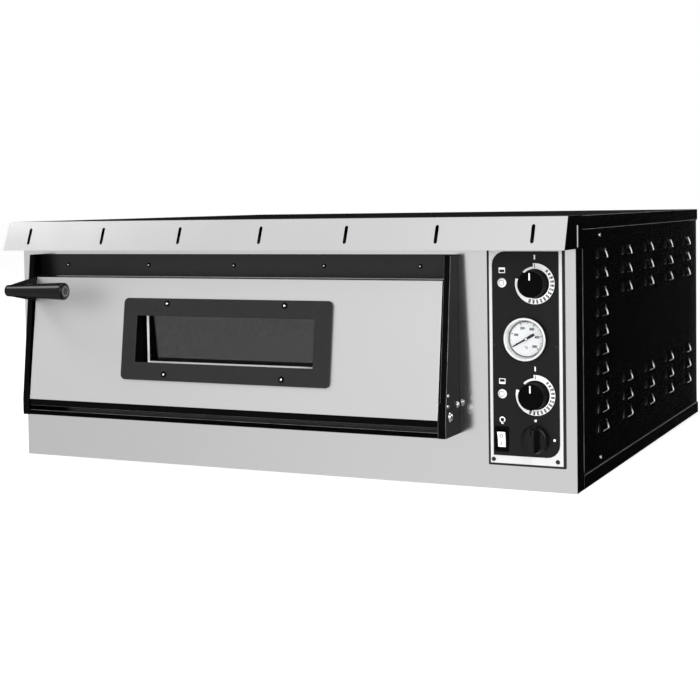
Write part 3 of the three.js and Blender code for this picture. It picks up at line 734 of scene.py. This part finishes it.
SIDE_SCREWS = [(142, HEIGHT - 32), (138, 33)]
for side, out in (("left", -1), ("right", 1)):
    flat = louvred_panel(side, out)
    fasteners(f"side_screws_{side}", [(flat, y, z) for y, z in SIDE_SCREWS], "x", out, 3.0, 2.0, 0.42,
              "bright_metal", "bright_metal")

back_face = span("back_panel")[1].y
back_seats = [(x, back_face, z) for x in (20, 260, 500, 740, WIDTH - 20) for z in (16, HEIGHT - 32)]
fasteners("back_screws", back_seats, "y", 1, 3.4, 1.6, 0.42, "black_steel", "black_paint")

# ---- door surround

softened("surround_lintel", "frame_paint", BODY, 0.3)
# The sill's rounded front edges take the lighter grey: a painted highlight for the thin light lines along the
# sill.
softened("surround_sill", "sill_paint", BODY, 0.6, paint=[
    ("worn_edge", lambda centre, normal: slanting(normal) and normal.y < -0.1 and centre.y < -50)])


# The right cheek's rounded front edges take the lighter grey: a painted highlight for the light line where
# light from the right catches them; the left cheek has none.
def cheek_edge_highlight(centre, normal):
    return slanting(normal) and normal.y < -0.2 and abs(normal.x) > 0.2


for side in ("left", "right"):
    softened(f"surround_cheek_{side}", "deep_black", BODY, 0.7, 3,
             paint=[("worn_edge", cheek_edge_highlight)] if side == "right" else None)

lintel_face = span("surround_lintel")[0].y
rivet_seats = [(97 + 164.5 * k, lintel_face, 337.5) for k in range(5)]
fasteners("lintel_rivets", rivet_seats, "y", -1, 3.6, 1.4, 0, "deep_black", "black_paint")
mandrels = bmesh.new()
for seat in rivet_seats:
    turn(mandrels, [(0, -1), (1.3, -1), (1.2, -1.75), (0, -1.95)], seat, "y", 20)
built("rivet_mandrels", mandrels, "bright_metal", BODY)

for side, out in (("left", -1), ("right", 1)):
    pin_low, pin_high = span(f"hinge_pin_{side}")
    cheek_low, cheek_high = span(f"surround_cheek_{side}")
    outer = cheek_high.x if out > 0 else cheek_low.x
    inner_end = pin_low.x if out > 0 else pin_high.x
    pin_mid = (pin_low + pin_high) / 2
    pin_line = [(0, inner_end), (3.4, inner_end), (4, inner_end + out * 0.6), (4, outer + out * 0.5),
                (0, outer + out * 0.5)]
    pivot = bmesh.new()
    turn(pivot, pin_line, (0, pin_mid.y, pin_mid.z), "x", 32)
    fastener(pivot, (outer + out * 0.3, pin_mid.y, pin_mid.z), "x", out, 5.4, 3.5, 0.5, washer=7.1)
    built(f"hinge_bolt_{side}", pivot, "bright_metal", BODY, [f"hinge_pin_{side}"])
    fasteners(f"cheek_bolt_{side}", [(outer, -11, 127)], "x", out, 3.6, 2.4, 0.5,
              "bright_metal", "bright_metal", washer=4.8)
    fasteners(f"cheek_screws_{side}", [(outer, -51, 145), (outer, -52, 129)], "x", out, 2.7, 1.8, 0.4,
              "bright_metal", "bright_metal")

# ---- baking chamber

softened("mouth_threshold", "stainless", BODY, 0.4)
for side in ("left", "right"):
    softened(f"hearth_stone_{side}", "refractory", BODY, 1.6, 3)


def hairpin(node, tail_x):
    """A smooth tube in place of the CAD element: out, round the bend and back."""
    low, high = span(node)
    radius = (high.z - low.z) / 2
    z = (low.z + high.z) / 2
    legs = (low.y + radius, high.y - radius)
    bend = (legs[1] - legs[0]) / 2
    turn_x = low.x + radius + bend
    path = [(x, legs[0], math.pi / 2) for x in (tail_x, (tail_x + turn_x) / 2)]
    for k in range(33):
        t = math.pi * k / 32
        path.append((turn_x - bend * math.sin(t), legs[0] + bend - bend * math.cos(t), math.pi / 2 + t))
    path += [(x, legs[1], 1.5 * math.pi) for x in ((tail_x + turn_x) / 2, tail_x)]
    bm = bmesh.new()
    rings = []
    for x, y, heading in path:
        side = Vector((math.cos(heading), math.sin(heading), 0))
        ring = []
        for k in range(14):
            t = 2 * math.pi * k / 14
            middle_line = Vector((x, y, z + radius * math.sin(t)))
            ring.append(bm.verts.new(at(middle_line + side * radius * math.cos(t))))
        rings.append(ring)
    for a, b in zip(rings, rings[1:]):
        for k in range(14):
            n = (k + 1) % 14
            bm.faces.new([a[k], a[n], b[n], b[k]])
    bm.faces.new(rings[0])
    bm.faces.new(rings[-1][::-1])
    return bm


for level in ("upper", "lower"):
    for where in ("front", "middle", "rear"):
        node = f"{level}_element_{where}"
        tube = hairpin(node, span(node)[1].x)
        built(f"{node}_tube", tube, "element_sheath", BODY, [node])

lamp_foot = middle("chamber_lamp_lens")
lamp_foot.z = span("chamber_lamp_lens")[0].z
dome = [(0, 0), (9, 0.5), (14, 2.2), (16.6, 5), (17, 6), (20.4, 6.2), (20.9, 7), (20.9, 10.6), (20.4, 11),
        (0, 11)]
turned("lamp_lens_dome", dome, lamp_foot, "z", 48, "oven_glass", BODY, ["chamber_lamp_lens"])

# ---- door

DOOR_TOP, DOOR_BOTTOM = (-30.0, 317.0), (-59.0, 108.0)  # Y and Z of the sloping front's edges
SLOPE = math.degrees(math.atan2(DOOR_TOP[0] - DOOR_BOTTOM[0], DOOR_TOP[1] - DOOR_BOTTOM[1]))


def door_y(z, proud=0.0):
    share = (DOOR_TOP[1] - z) / (DOOR_TOP[1] - DOOR_BOTTOM[1])
    return DOOR_TOP[0] + (DOOR_BOTTOM[0] - DOOR_TOP[0]) * share - proud / math.cos(math.radians(SLOPE))


# The door skin's edges, outside the window's middle span, take the near-white polished finish: a painted
# highlight for the white lines along them.
def skin_edge_highlight(centre, normal):
    level_face = normal.y < -0.95 and abs(normal.x) < 0.05
    return not level_face and abs(normal.y) < 0.999 and not 200 < centre.x < 660


softened("door_skin", "coarse_stainless", "door", 0.8, paint=[("polished_edge", skin_edge_highlight)])
# The frame's lower rounded front edges take the lighter grey: a painted highlight.
softened("door_frame", "deep_black", "door", 0.5, paint=[
    ("worn_edge", lambda centre, normal: slanting(normal) and centre.z < 98.5 and normal.y < -0.1)])
# The bezel's faces behind its front, down the sight tunnel, take a darker black than its front: painted shade
# in the recess.
softened("window_bezel", "frame_paint", "door", 0.8, 3, paint=[
    ("deep_black", lambda centre, normal: centre.y > door_y(centre.z) + 1.5)])
softened("window_glass", "oven_glass", "door", 0.4)
softened("handle_arm", "deep_black", "door", 0.5, 3)

bezel_low, bezel_high = span("window_bezel")
bezel_x = (bezel_low.x + bezel_high.x) / 2
bezel_rows = (bezel_high.z - 8.5, bezel_low.z + 10.5)
bezel_spots = [(x, z) for x in (bezel_x - 109, bezel_x + 109) for z in bezel_rows]
fasteners("bezel_cups", [(x, door_y(z, 3.2), z) for x, z in bezel_spots], "y", -1, 5.0, 1.1, 0.9,
          "deep_black", "black_paint", "door", tilt=-SLOPE)
fasteners("bezel_screws", [(x, door_y(z, 3.6), z) for x, z in bezel_spots], "y", -1, 2.4, 1.9, 0.4,
          "bright_metal", "bright_metal", "door", tilt=-SLOPE)

glass_low, glass_high = span("window_glass")
pane = 7  # how far the glass runs behind the tunnel's edge
sight = (glass_low.x + pane, glass_high.x - pane, glass_low.z + pane, glass_high.z - pane)
# The trim round the sight takes the polished finish; its near-white diffuse share is a painted highlight for
# the bright line round the window.
trim = bmesh.new()
loops = []
for inset, proud in ((0.6, 0.15), (0.6, 2.6), (0.9, 3.0), (3.3, 0.5), (3.4, 0.15)):
    line = rectangle(sight[0] + 3.2 + inset, sight[1] - inset,
                     sight[2] - 0.3 + inset, sight[3] + 2.4 - inset, 3.2 - inset)
    loops.append([trim.verts.new(at((x, glass_low.y - proud, z))) for x, z in line])
for one, other in zip(loops, loops[1:] + loops[:1]):
    for k in range(len(one)):
        n = (k + 1) % len(one)
        trim.faces.new([one[k], one[n], other[n], other[k]])
built("glass_edge_trim", trim, "polished_edge", "door")

grip_low, grip_high = span("handle_grip")
grip_mid = middle("handle_grip")
grip_left = span("handle_arm")[0].x
thin, thick = 9.9, (grip_high.z - grip_low.z) / 2
grip_line = fillet([(0, grip_left), (thin, grip_left), (thin, grip_low.x), (thin + 0.4, grip_low.x + 6),
                    (thick, grip_high.x - 9), (thick, grip_high.x), (0, grip_high.x)], 5.5, 10)
grip_axis = (0, grip_mid.y, grip_mid.z)
turned("handle_grip_moulded", grip_line, grip_axis, "x", 96, "grip_black", "door",
       ["handle_grip"], 60)
end = grip_high.x
# The end plug takes the lighter grey: a painted highlight for the light ring at the grip's end.
plug_line = fillet([(0, end - 1), (8.6, end - 1), (8.2, end + 0.25), (6.4, end + 0.25), (6, end - 0.4),
                    (0, end - 0.4)], 0.3, 2)
turned("grip_end_plug", plug_line, grip_axis, "x", 48, "worn_edge", "door")

# ---- control panel

plate_low, plate_high = span("control_plate")
film_low = span("control_overlay")[0]
softened("control_plate", "satin_aluminium", BODY, 0.25)
softened("control_overlay", "control_film", BODY, 0.15)

# A black rubber band round the plate, put where a dark gap shows round it: painted shade for the shade in that
# gap.
gap_shade = bmesh.new()
band(gap_shade,
     rectangle(plate_low.x - 3.5, plate_high.x + 4.2, plate_low.z - 3.4, plate_high.z + 0.3, 1.5),
     rectangle(plate_low.x - 0.2, plate_high.x + 0.2, plate_low.z - 0.2, plate_high.z + 0.1, 0.6),
     -1.3, -0.05)
round_edges(gap_shade, 0.25)
built("panel_gasket", gap_shade, "rubber", BODY)

plate_screws = bmesh.new()
for x, z in ((871, 45.6), (971, 46.6)):
    fastener(plate_screws, (x, plate_low.y, z), "y", -1, 3.3, 1.6, 0.4)
for x, z in ((873.8, 219), (970.5, 218.3)):
    fastener(plate_screws, (x, film_low.y, z), "y", -1, 2.4, 1.0, 0.4)
built("plate_screws", plate_screws, "black_steel", BODY)

FILM_FACE = film_low.y
PRINT = (FILM_FACE - 0.06, FILM_FACE - 0.005)
OVERPRINT = FILM_FACE - 0.08


def ring(bm, centre, outer, inner, start, end, steps, depth, closed=False):
    """Adds a strip between two radii, from one angle to another."""
    edges = [arc(centre, radius, start, end, steps) for radius in (outer, inner)]
    band(bm, *edges, *depth, closed=closed)


def bar(bm, centre, radii, angle, width, depth):
    """Adds a short printed line that points away from a centre."""
    t = math.radians(angle)
    out, across = Vector((math.sin(t), math.cos(t))), Vector((math.cos(t), -math.sin(t)))
    c = Vector(centre)
    corners = [c + out * r + across * w for r, w in
               ((radii[0], -width / 2), (radii[1], -width / 2), (radii[1], width / 2), (radii[0], width / 2))]
    return prism(bm, [tuple(p) for p in corners], *depth)


SCALE_INNER, SCALE_OUTER = 22.3, 30.6
for level in ("upper", "lower"):
    hub = middle(f"thermostat_knob_{level}")
    spot = (hub.x, hub.z)
    scale = bmesh.new()
    ring(scale, spot, SCALE_OUTER, SCALE_INNER, -5, 285, 116, PRINT)
    ring(scale, spot, SCALE_INNER + 3.4, SCALE_INNER, 314, 355, 24, PRINT)
    bar(scale, spot, (36, 43), 0, 2.0, PRINT)
    built(f"scale_ring_{level}", scale, "white_ink", BODY)
    marks = []
    ticks = bmesh.new()
    bar(ticks, spot, (24, 30), 0, 1.2, (OVERPRINT - 0.04, OVERPRINT + 0.05))
    for k in range(13):
        angle = 45 + 12.7 * k
        radius = (SCALE_INNER + SCALE_OUTER) / 2 + 0.3
        place = arc(spot, radius, angle, angle, 1)[0]
        marks.append(printed("mark", str(30 * (k + 2)), 4.2, place, OVERPRINT, angle - 90, bold=0.3))
    marks.append(mesh_from(ticks, "ticks", ["black_ink"]))
    gathered(f"scale_marks_{level}", marks, "black_ink", BODY)


def flutes(radius, along, t):
    """Shallow finger flutes round a knob's side."""
    if radius < 19.2:
        return radius
    return radius - 0.32 * (0.5 + 0.5 * math.cos(32 * t)) ** 2


KNOB_FOOT = FILM_FACE - 0.5


def spindle(bm, hub, end):
    """Adds the spindle behind a knob, back to the Y of its end."""
    front = KNOB_FOOT - 1
    turn(bm, [(0, end), (2.9, end), (2.9, front), (0, front)], (hub.x, 0, hub.z), "y", 24)


for level in ("upper", "lower"):
    node = f"thermostat_knob_{level}"
    low, high = span(node)
    hub = middle(node)
    face = low.y + 0.75
    line = [(0, KNOB_FOOT), (20.5, KNOB_FOOT), (20.5, KNOB_FOOT - 2.2), (20.1, KNOB_FOOT - 2.8),
            (19.7, face + 2.4), (18.4, face + 0.35), (17.2, face), (16.4, face + 0.45), (0, face + 0.25)]
    knob = bmesh.new()
    turn(knob, fillet(line, 0.7, 3), (hub.x, 0, hub.z), "y", 192, flutes)
    spindle(knob, hub, high.y)
    built(f"{node}_fluted", knob, "black_plastic", f"{level}_knob", [node], 50)
    pointer = bmesh.new()
    line = rectangle(hub.x - 0.95, hub.x + 0.95, hub.z + 6.2, hub.z + 17.4, 0.9)
    prism(pointer, line, low.y + 0.1, face + 0.5)
    round_edges(pointer, 0.15)
    built(f"knob_pointer_{level}", pointer, "white_plastic", f"{level}_knob")

# Main switch: a flared skirt with a finger bar across it.
low, high = span("main_switch_knob")
hub = middle("main_switch_knob")
skirt = [(0, 0), (21.4, 0), (21.3, -4.2), (18.6, -8.6), (15.5, -8.9), (15.2, -8.4), (0, -8.4)]
switch = bmesh.new()
turn(switch, fillet(skirt, 1.2, 4), (hub.x, KNOB_FOOT, hub.z), "y", 96)
BAR_REACH = 17.6  # from the switch's axis to each end of its finger bar
side_line = []
for k in range(49):
    z = BAR_REACH * (2 * k / 48 - 1)
    side_line.append((hub.x + 4.3 + 1.1 * (z / BAR_REACH) ** 2, hub.z + z))
outline = side_line + [(2 * hub.x - x, z) for x, z in side_line[::-1]]
grip_bar = bmesh.new()
prism(grip_bar, outline, low.y, KNOB_FOOT - 8)
round_edges(grip_bar, 1.5, 4, 40)
bar_mesh = mesh_from(grip_bar, "grip_bar", ["black_plastic"])
switch.from_mesh(bar_mesh)
bpy.data.meshes.remove(bar_mesh)
spindle(switch, hub, high.y)
built("main_switch_moulded", switch, "gloss_plastic", "switch_knob",
      ["main_switch_knob"], 50)
notch = bmesh.new()
prism(notch, rectangle(hub.x - 0.7, hub.x + 0.7, hub.z + 9, hub.z + 16.2, 0.6), low.y, low.y + 0.6)
built("main_switch_mark", notch, "black_ink", "switch_knob")
dots = bmesh.new()
for angle, reach in ((0, 28), (90, 29)):
    spot = arc((hub.x, hub.z), reach, angle, angle, 1)[0]
    prism(dots, arc(spot, 2.0, 0, 345, 23), *PRINT)
built("switch_dots", dots, "white_ink", BODY)

# Printed signs beside the lamps: a chamber heated from above, one heated from below, and a bulb.
signs = bmesh.new()
for level, bar_at in (("upper", 1), ("lower", -1)):
    lamp_mid = middle(f"pilot_lamp_{level}")
    x, z = lamp_mid.x, lamp_mid.z + 18.9
    frame_line = rectangle(x - 5, x + 5, z - 4.2, z + 4.2, 0.8)
    band(signs, frame_line, rectangle(x - 3.9, x + 3.9, z - 3.1, z + 3.1, 0.4), *PRINT)
    prism(signs, rectangle(x - 3.95, x + 3.95, *sorted((z + bar_at * 3.15, z + bar_at * 0.9))), *PRINT)
rock = middle("lamp_switch_housing")
x, z = rock.x + 1, rock.z + 29.5
ring(signs, (x, z), 4.6, 2.9, 160, 500, 34, PRINT)
prism(signs, rectangle(x - 1.7, x + 1.7, z - 6.6, z - 3.6, 0.4), *PRINT)
built("panel_signs", signs, "white_ink", BODY)

for level in ("upper", "lower"):
    node = f"pilot_lamp_{level}"
    low, high = span(node)
    hub = middle(node)
    dome = [(0, 0), (2.4, 0.08), (3.1, 0.2), (3.5, 1.1), (4.0, 1.1), (4.5, 0.4), (5.4, 0.9), (6.4, 1.7),
            (7.0, 2.5), (7.0, 2.95), (5, 2.95), (5, 23.8), (0, 23.8)]
    lens = turn(bmesh.new(), dome, (hub.x, low.y, hub.z), "y", 48)
    # The faces of the lens's groove take grey: painted shade in the groove.
    for face in lens.faces:
        from_hub = (face.calc_center_median() - at((hub.x, 0, hub.z))) / MM
        shaded_groove = 3.1 < math.hypot(from_hub.x, from_hub.z) < 4.3 and from_hub.y < high.y - 20
        face.material_index = 1 if shaded_groove else 0
    built(f"{node}_domed", lens, ["white_plastic", "grey_ink"], BODY, [node], 50)

# Thermometer: turned case, printed dial, needle and lens.
case_low, case_high = span("thermometer_case")
dial_spot = middle("thermometer_case")
lens_low, lens_high = span("thermometer_lens")
RIM = (case_high.x - case_low.x) / 2
BARREL = RIM - 2.5
DIAL = -1.0  # Y of the case's floor, which the dial lies on
DIAL_RADIUS = 26.9
case_line = [
    (0, case_high.y), (28, case_high.y), (28, FILM_FACE - 0.3), (BARREL, FILM_FACE - 0.3),
    (BARREL, case_low.y + 4), (RIM, case_low.y + 3), (RIM, case_low.y + 1.2), (RIM - 1.3, case_low.y),
    (RIM - 2.7, case_low.y + 0.3), (DIAL_RADIUS + 0.1, DIAL), (0, DIAL),
]
dial_axis = (dial_spot.x, 0, dial_spot.z)
case = turn(bmesh.new(), fillet(case_line, 0.6, 4), dial_axis, "y", 128)
# The case's front rim takes the polished finish; its near-white diffuse share is a painted highlight for the
# white ring round the dial.
for face in case.faces:
    from_axis = (face.calc_center_median() - at(dial_axis)) / MM
    barrel = math.hypot(from_axis.x, from_axis.z) > BARREL - 1.1 and from_axis.y > case_low.y + 3.2
    face.material_index = 1 if barrel else 0
built("thermometer_case_turned", case, ["polished_edge", "deep_black"], BODY,
      ["thermometer_case"], 50)

centre = (dial_spot.x, dial_spot.z)
dial_line = [(0, DIAL - 0.05), (DIAL_RADIUS, DIAL - 0.05), (DIAL_RADIUS, DIAL - 0.6), (0, DIAL - 0.6)]
turned("thermometer_dial", fillet(dial_line, 0.2, 2), dial_axis, "y", 96, "dial_white", BODY)
# A black ring round the dial's edge, put where a thin dark line shows between rim and dial: painted shade for
# the gap there.
gap_ring = bmesh.new()
ring(gap_ring, centre, DIAL_RADIUS, DIAL_RADIUS - 1, 0, 356.25, 95, (DIAL - 1.4, DIAL - 0.5), closed=True)
built("dial_seal", gap_ring, "rubber", BODY)
DIAL_PRINT = (DIAL - 0.66, DIAL - 0.58)
TICKS_OUT, NUMBERS_OUT = 25.2, 17
ZERO, SWEEP = 240, 250  # the zero mark's angle and the scale's, clockwise in degrees
dial_marks = []
dial_ticks = bmesh.new()
for k in range(51):
    angle = ZERO + SWEEP * k / 50
    length, width = (3.6, 1.0) if k % 10 == 0 else (2.6, 0.55) if k % 5 == 0 else (1.5, 0.28)
    bar(dial_ticks, centre, (TICKS_OUT - length, TICKS_OUT), angle, width, DIAL_PRINT)
ring(dial_ticks, centre, TICKS_OUT + 0.2, TICKS_OUT - 0.1, ZERO, ZERO + SWEEP, 80, DIAL_PRINT)
dial_marks.append(mesh_from(dial_ticks, "dial_ticks", ["black_ink"]))
for k in range(6):
    angle = math.radians(ZERO + SWEEP * k / 5)
    spot = (centre[0] + NUMBERS_OUT * math.sin(angle), centre[1] + NUMBERS_OUT * math.cos(angle))
    dial_marks.append(printed("dial_number", str(100 * k), 4.9, spot, DIAL - 0.62, 0, bold=0.28))
dial_marks.append(printed("dial_unit", "°C", 4.6, (centre[0], centre[1] - 13), DIAL - 0.62, 0, bold=0.2))
gathered("dial_marks", dial_marks, "black_ink", BODY)

t = math.radians(ZERO)
out, across = Vector((math.sin(t), math.cos(t))), Vector((math.cos(t), -math.sin(t)))
half_blade = [(23.8, 0.85), (4, 1.4), (-3, 1.4), (-4.5, 2.1), (-14.4, 2.1)]
blade_line = [(a, -b) for a, b in half_blade] + half_blade[::-1]
blade = bmesh.new()
prism(blade, [tuple(Vector(centre) + out * a + across * b) for a, b in blade_line], DIAL - 2.2, DIAL - 1.5)
round_edges(blade, 0.12)
hub_line = [(0, -2.3), (2.4, -2.3), (2.5, -1.1), (1.1, -1.05), (1.1, 4.9), (0, 4.9)]
turn(blade, hub_line, (centre[0], DIAL, centre[1]), "y", 40)
built("dial_needle", blade, "needle_black", "needle", ["thermometer_needle"])
# The needle's cap takes the same polished finish, with its painted highlight.
cap_line = [(0, -2.58), (1.2, -2.54), (1.8, -2.4), (1.9, -2.25), (0, -2.25)]
turned("needle_cap", cap_line, (centre[0], DIAL, centre[1]), "y", 32, "polished_edge", "needle")

pane_radius = (lens_high.x - lens_low.x) / 2
lens_line = [(0, lens_low.y), (pane_radius - 0.6, lens_low.y), (pane_radius, lens_low.y + 0.4),
             (pane_radius, lens_high.y), (0, lens_high.y)]
turned("thermometer_glass", lens_line, dial_axis, "y", 128, "gauge_glass", BODY,
       ["thermometer_lens"])

# Lamp rocker in its housing.
softened("lamp_switch_housing", "black_plastic", BODY, 0.6, 3)
softened("lamp_rocker", "white_plastic", "lamp_rocker", 0.7, 3)
ROCKER_UPPER = ((FILM_FACE - 1.6, rock.z - 1), (FILM_FACE - 5, rock.z + 11.6))
ROCKER_LOWER = ((FILM_FACE - 0.8, rock.z - 12.4), (FILM_FACE - 1.6, rock.z - 1))
rocker_marks = []
for (start, end), is_ring in ((ROCKER_UPPER, True), (ROCKER_LOWER, False)):
    lean = math.atan2(start[0] - end[0], end[1] - start[1])
    mark = bmesh.new()
    if is_ring:
        ring(mark, (0, 0), 2.8, 1.8, 0, 350, 35, (-0.06, 0.02), closed=True)
    else:
        prism(mark, rectangle(-0.6, 0.6, -2.7, 2.7), -0.06, 0.02)
    mesh = mesh_from(mark, "rocker_mark", ["black_ink"])
    mid = at((rock.x, (start[0] + end[0]) / 2, (start[1] + end[1]) / 2))
    mesh.transform(Matrix.Translation(-at((0, 0, 0))))
    mesh.transform(Matrix.Translation(mid) @ Matrix.Rotation(lean, 4, "X"))
    rocker_marks.append(mesh)
gathered("rocker_marks", rocker_marks, "black_ink", "lamp_rocker")

softened("cable_gland", "black_plastic", BODY, 0.7, 3)

# ---- CAD nodes that stay as they are

NODE_SLOT = {part["node"]: part["material_slot"] for part in frame["record"]["subparts"]}
for name, obj in nodes.items():
    if obj.hide_render:
        continue
    obj.data.materials.clear()
    obj.data.materials.append(FINISH[NODE_SLOT[name]])

# ---- studio


def bearing(degrees):
    """Place on the studio's ramp of a bearing from straight ahead of the oven's front, to the right."""
    return (degrees + 180) / 360


# Brightness of the studio round the oven, by bearing, and its factor from the floor (0) to overhead (1).
AROUND = [
    (-180, 3.0), (-178, 2.4), (-174, 0.03), (-163, 0.004), (-130, 0.015), (-95, 0.35), (-60, 0.72),
    (-38, 0.80), (-20, 0.98), (10, 0.85), (45, 0.45), (85, 0.16), (112, 0.02), (121, 0.5), (133, 0.5),
    (143, 0.006), (172, 0.004), (176, 2.4), (180, 3.0),
]
ABOVE = [(0.0, 0.9), (0.3, 0.9), (0.42, 0.8), (0.5, 0.86), (0.64, 0.88), (0.82, 0.95), (1.0, 0.9)]


def world_light():
    """White to the camera. Everything else sees a soft studio, bright ahead and left, dark to the right."""
    world = bpy.data.worlds.new("studio")
    scene.world = world
    world.use_nodes = True
    tree = world.node_tree
    tree.nodes.clear()
    split = add_node(tree, "SeparateXYZ", {0: add_node(tree, "TexCoord").outputs["Generated"]})
    back = multiplied(tree, split.outputs["Y"], -1)
    angle = add_node(tree, "Math", {0: split.outputs["X"], 1: back}, operation="ARCTAN2")
    share = add_node(tree, "MapRange", {"Value": angle.outputs[0]}, From_Min=-math.pi, From_Max=math.pi)
    around = add_ramp(tree, share.outputs[0], [(bearing(d), grey) for d, grey in AROUND], "EASE")
    height = add_node(tree, "MapRange", {"Value": split.outputs["Z"]}, From_Min=-1, From_Max=1)
    above = add_ramp(tree, height.outputs[0], ABOVE, "EASE")
    both = add_node(tree, "MixRGB", {"Color1": around, "Color2": above}, blend_type="MULTIPLY", Fac=1)
    studio = add_node(tree, "Background", {"Color": both.outputs[0]}, Strength=1.0)
    plain = add_node(tree, "Background", Color=(1, 1, 1, 1))
    seen = add_node(tree, "LightPath").outputs["Is Camera Ray"]
    mixed = add_node(tree, "MixShader", {0: seen, 1: studio.outputs[0], 2: plain.outputs[0]})
    add_node(tree, "OutputWorld", {"Surface": mixed.outputs[0]})


def softbox(name, place, aim, size, power):
    light = bpy.data.lights.new(name, "AREA")
    light.shape = "RECTANGLE"
    light.size, light.size_y = size
    light.energy = power
    obj = bpy.data.objects.new(name, light)
    scene.collection.objects.link(obj)
    obj.location = place
    obj.rotation_euler = (Vector(aim) - Vector(place)).to_track_quat("-Z", "Y").to_euler()


world_light()
softbox("overhead", (-0.2, -0.4, 3.0), (0, -0.2, 0.3), (2.0, 0.9), 24)
softbox("upper_left", (-2.9, -1.7, 3.0), (-0.4, -0.55, 0.3), (1.5, 1.3), 34)
softbox("fill", (2.0, -2.6, 1.5), (0.1, -0.4, 0.2), (1.2, 2.2), 60)

floor_paint = Paint("studio_floor", (0.9, 0.9, 0.9), 0.9)
floor_paint.vary_roughness(floor_paint.noise(3, 2), 0.85, 0.95)
floor_paint.set("Emission Color", (1, 1, 1, 1))
floor_paint.set("Emission Strength", 0.62)
floor_mesh = bpy.data.meshes.new("studio_floor")
FLOOR_REACH, FLOOR_TOP = 30, -0.0005
corners = [(x * FLOOR_REACH, y * FLOOR_REACH, FLOOR_TOP) for x, y in ((-1, -1), (1, -1), (1, 1), (-1, 1))]
floor_mesh.from_pydata(corners, [], [(0, 1, 2, 3)])
floor_mesh.materials.append(floor_paint.material)
floor = bpy.data.objects.new("studio_floor", floor_mesh)
scene.collection.objects.link(floor)
floor.visible_glossy = False

# ---- camera

CAMERA_PLACE = (1.0856, -2.5223, 0.4376)
YAW, PITCH, ROLL = (math.radians(a) for a in (25.817, -2.571, -0.929))
FOCAL, SHIFT = 74.28, (0.0429, -0.1173)
forward = Vector((-math.sin(YAW) * math.cos(PITCH), math.cos(YAW) * math.cos(PITCH), math.sin(PITCH)))
level_right = Vector((math.cos(YAW), math.sin(YAW), 0))
level_up = level_right.cross(forward)
right = level_right * math.cos(ROLL) + level_up * math.sin(ROLL)
up = level_up * math.cos(ROLL) - level_right * math.sin(ROLL)
camera_data = bpy.data.cameras.new("camera")
camera_data.sensor_width = 36
camera_data.lens = FOCAL
camera_data.shift_x, camera_data.shift_y = SHIFT
camera = bpy.data.objects.new("camera", camera_data)
scene.collection.objects.link(camera)
facing = Matrix((right, up, -forward)).transposed()
camera.matrix_world = Matrix.Translation(CAMERA_PLACE) @ facing.to_4x4()
scene.camera = camera

scene.view_settings.view_transform = "Standard"
scene.view_settings.look = "None"
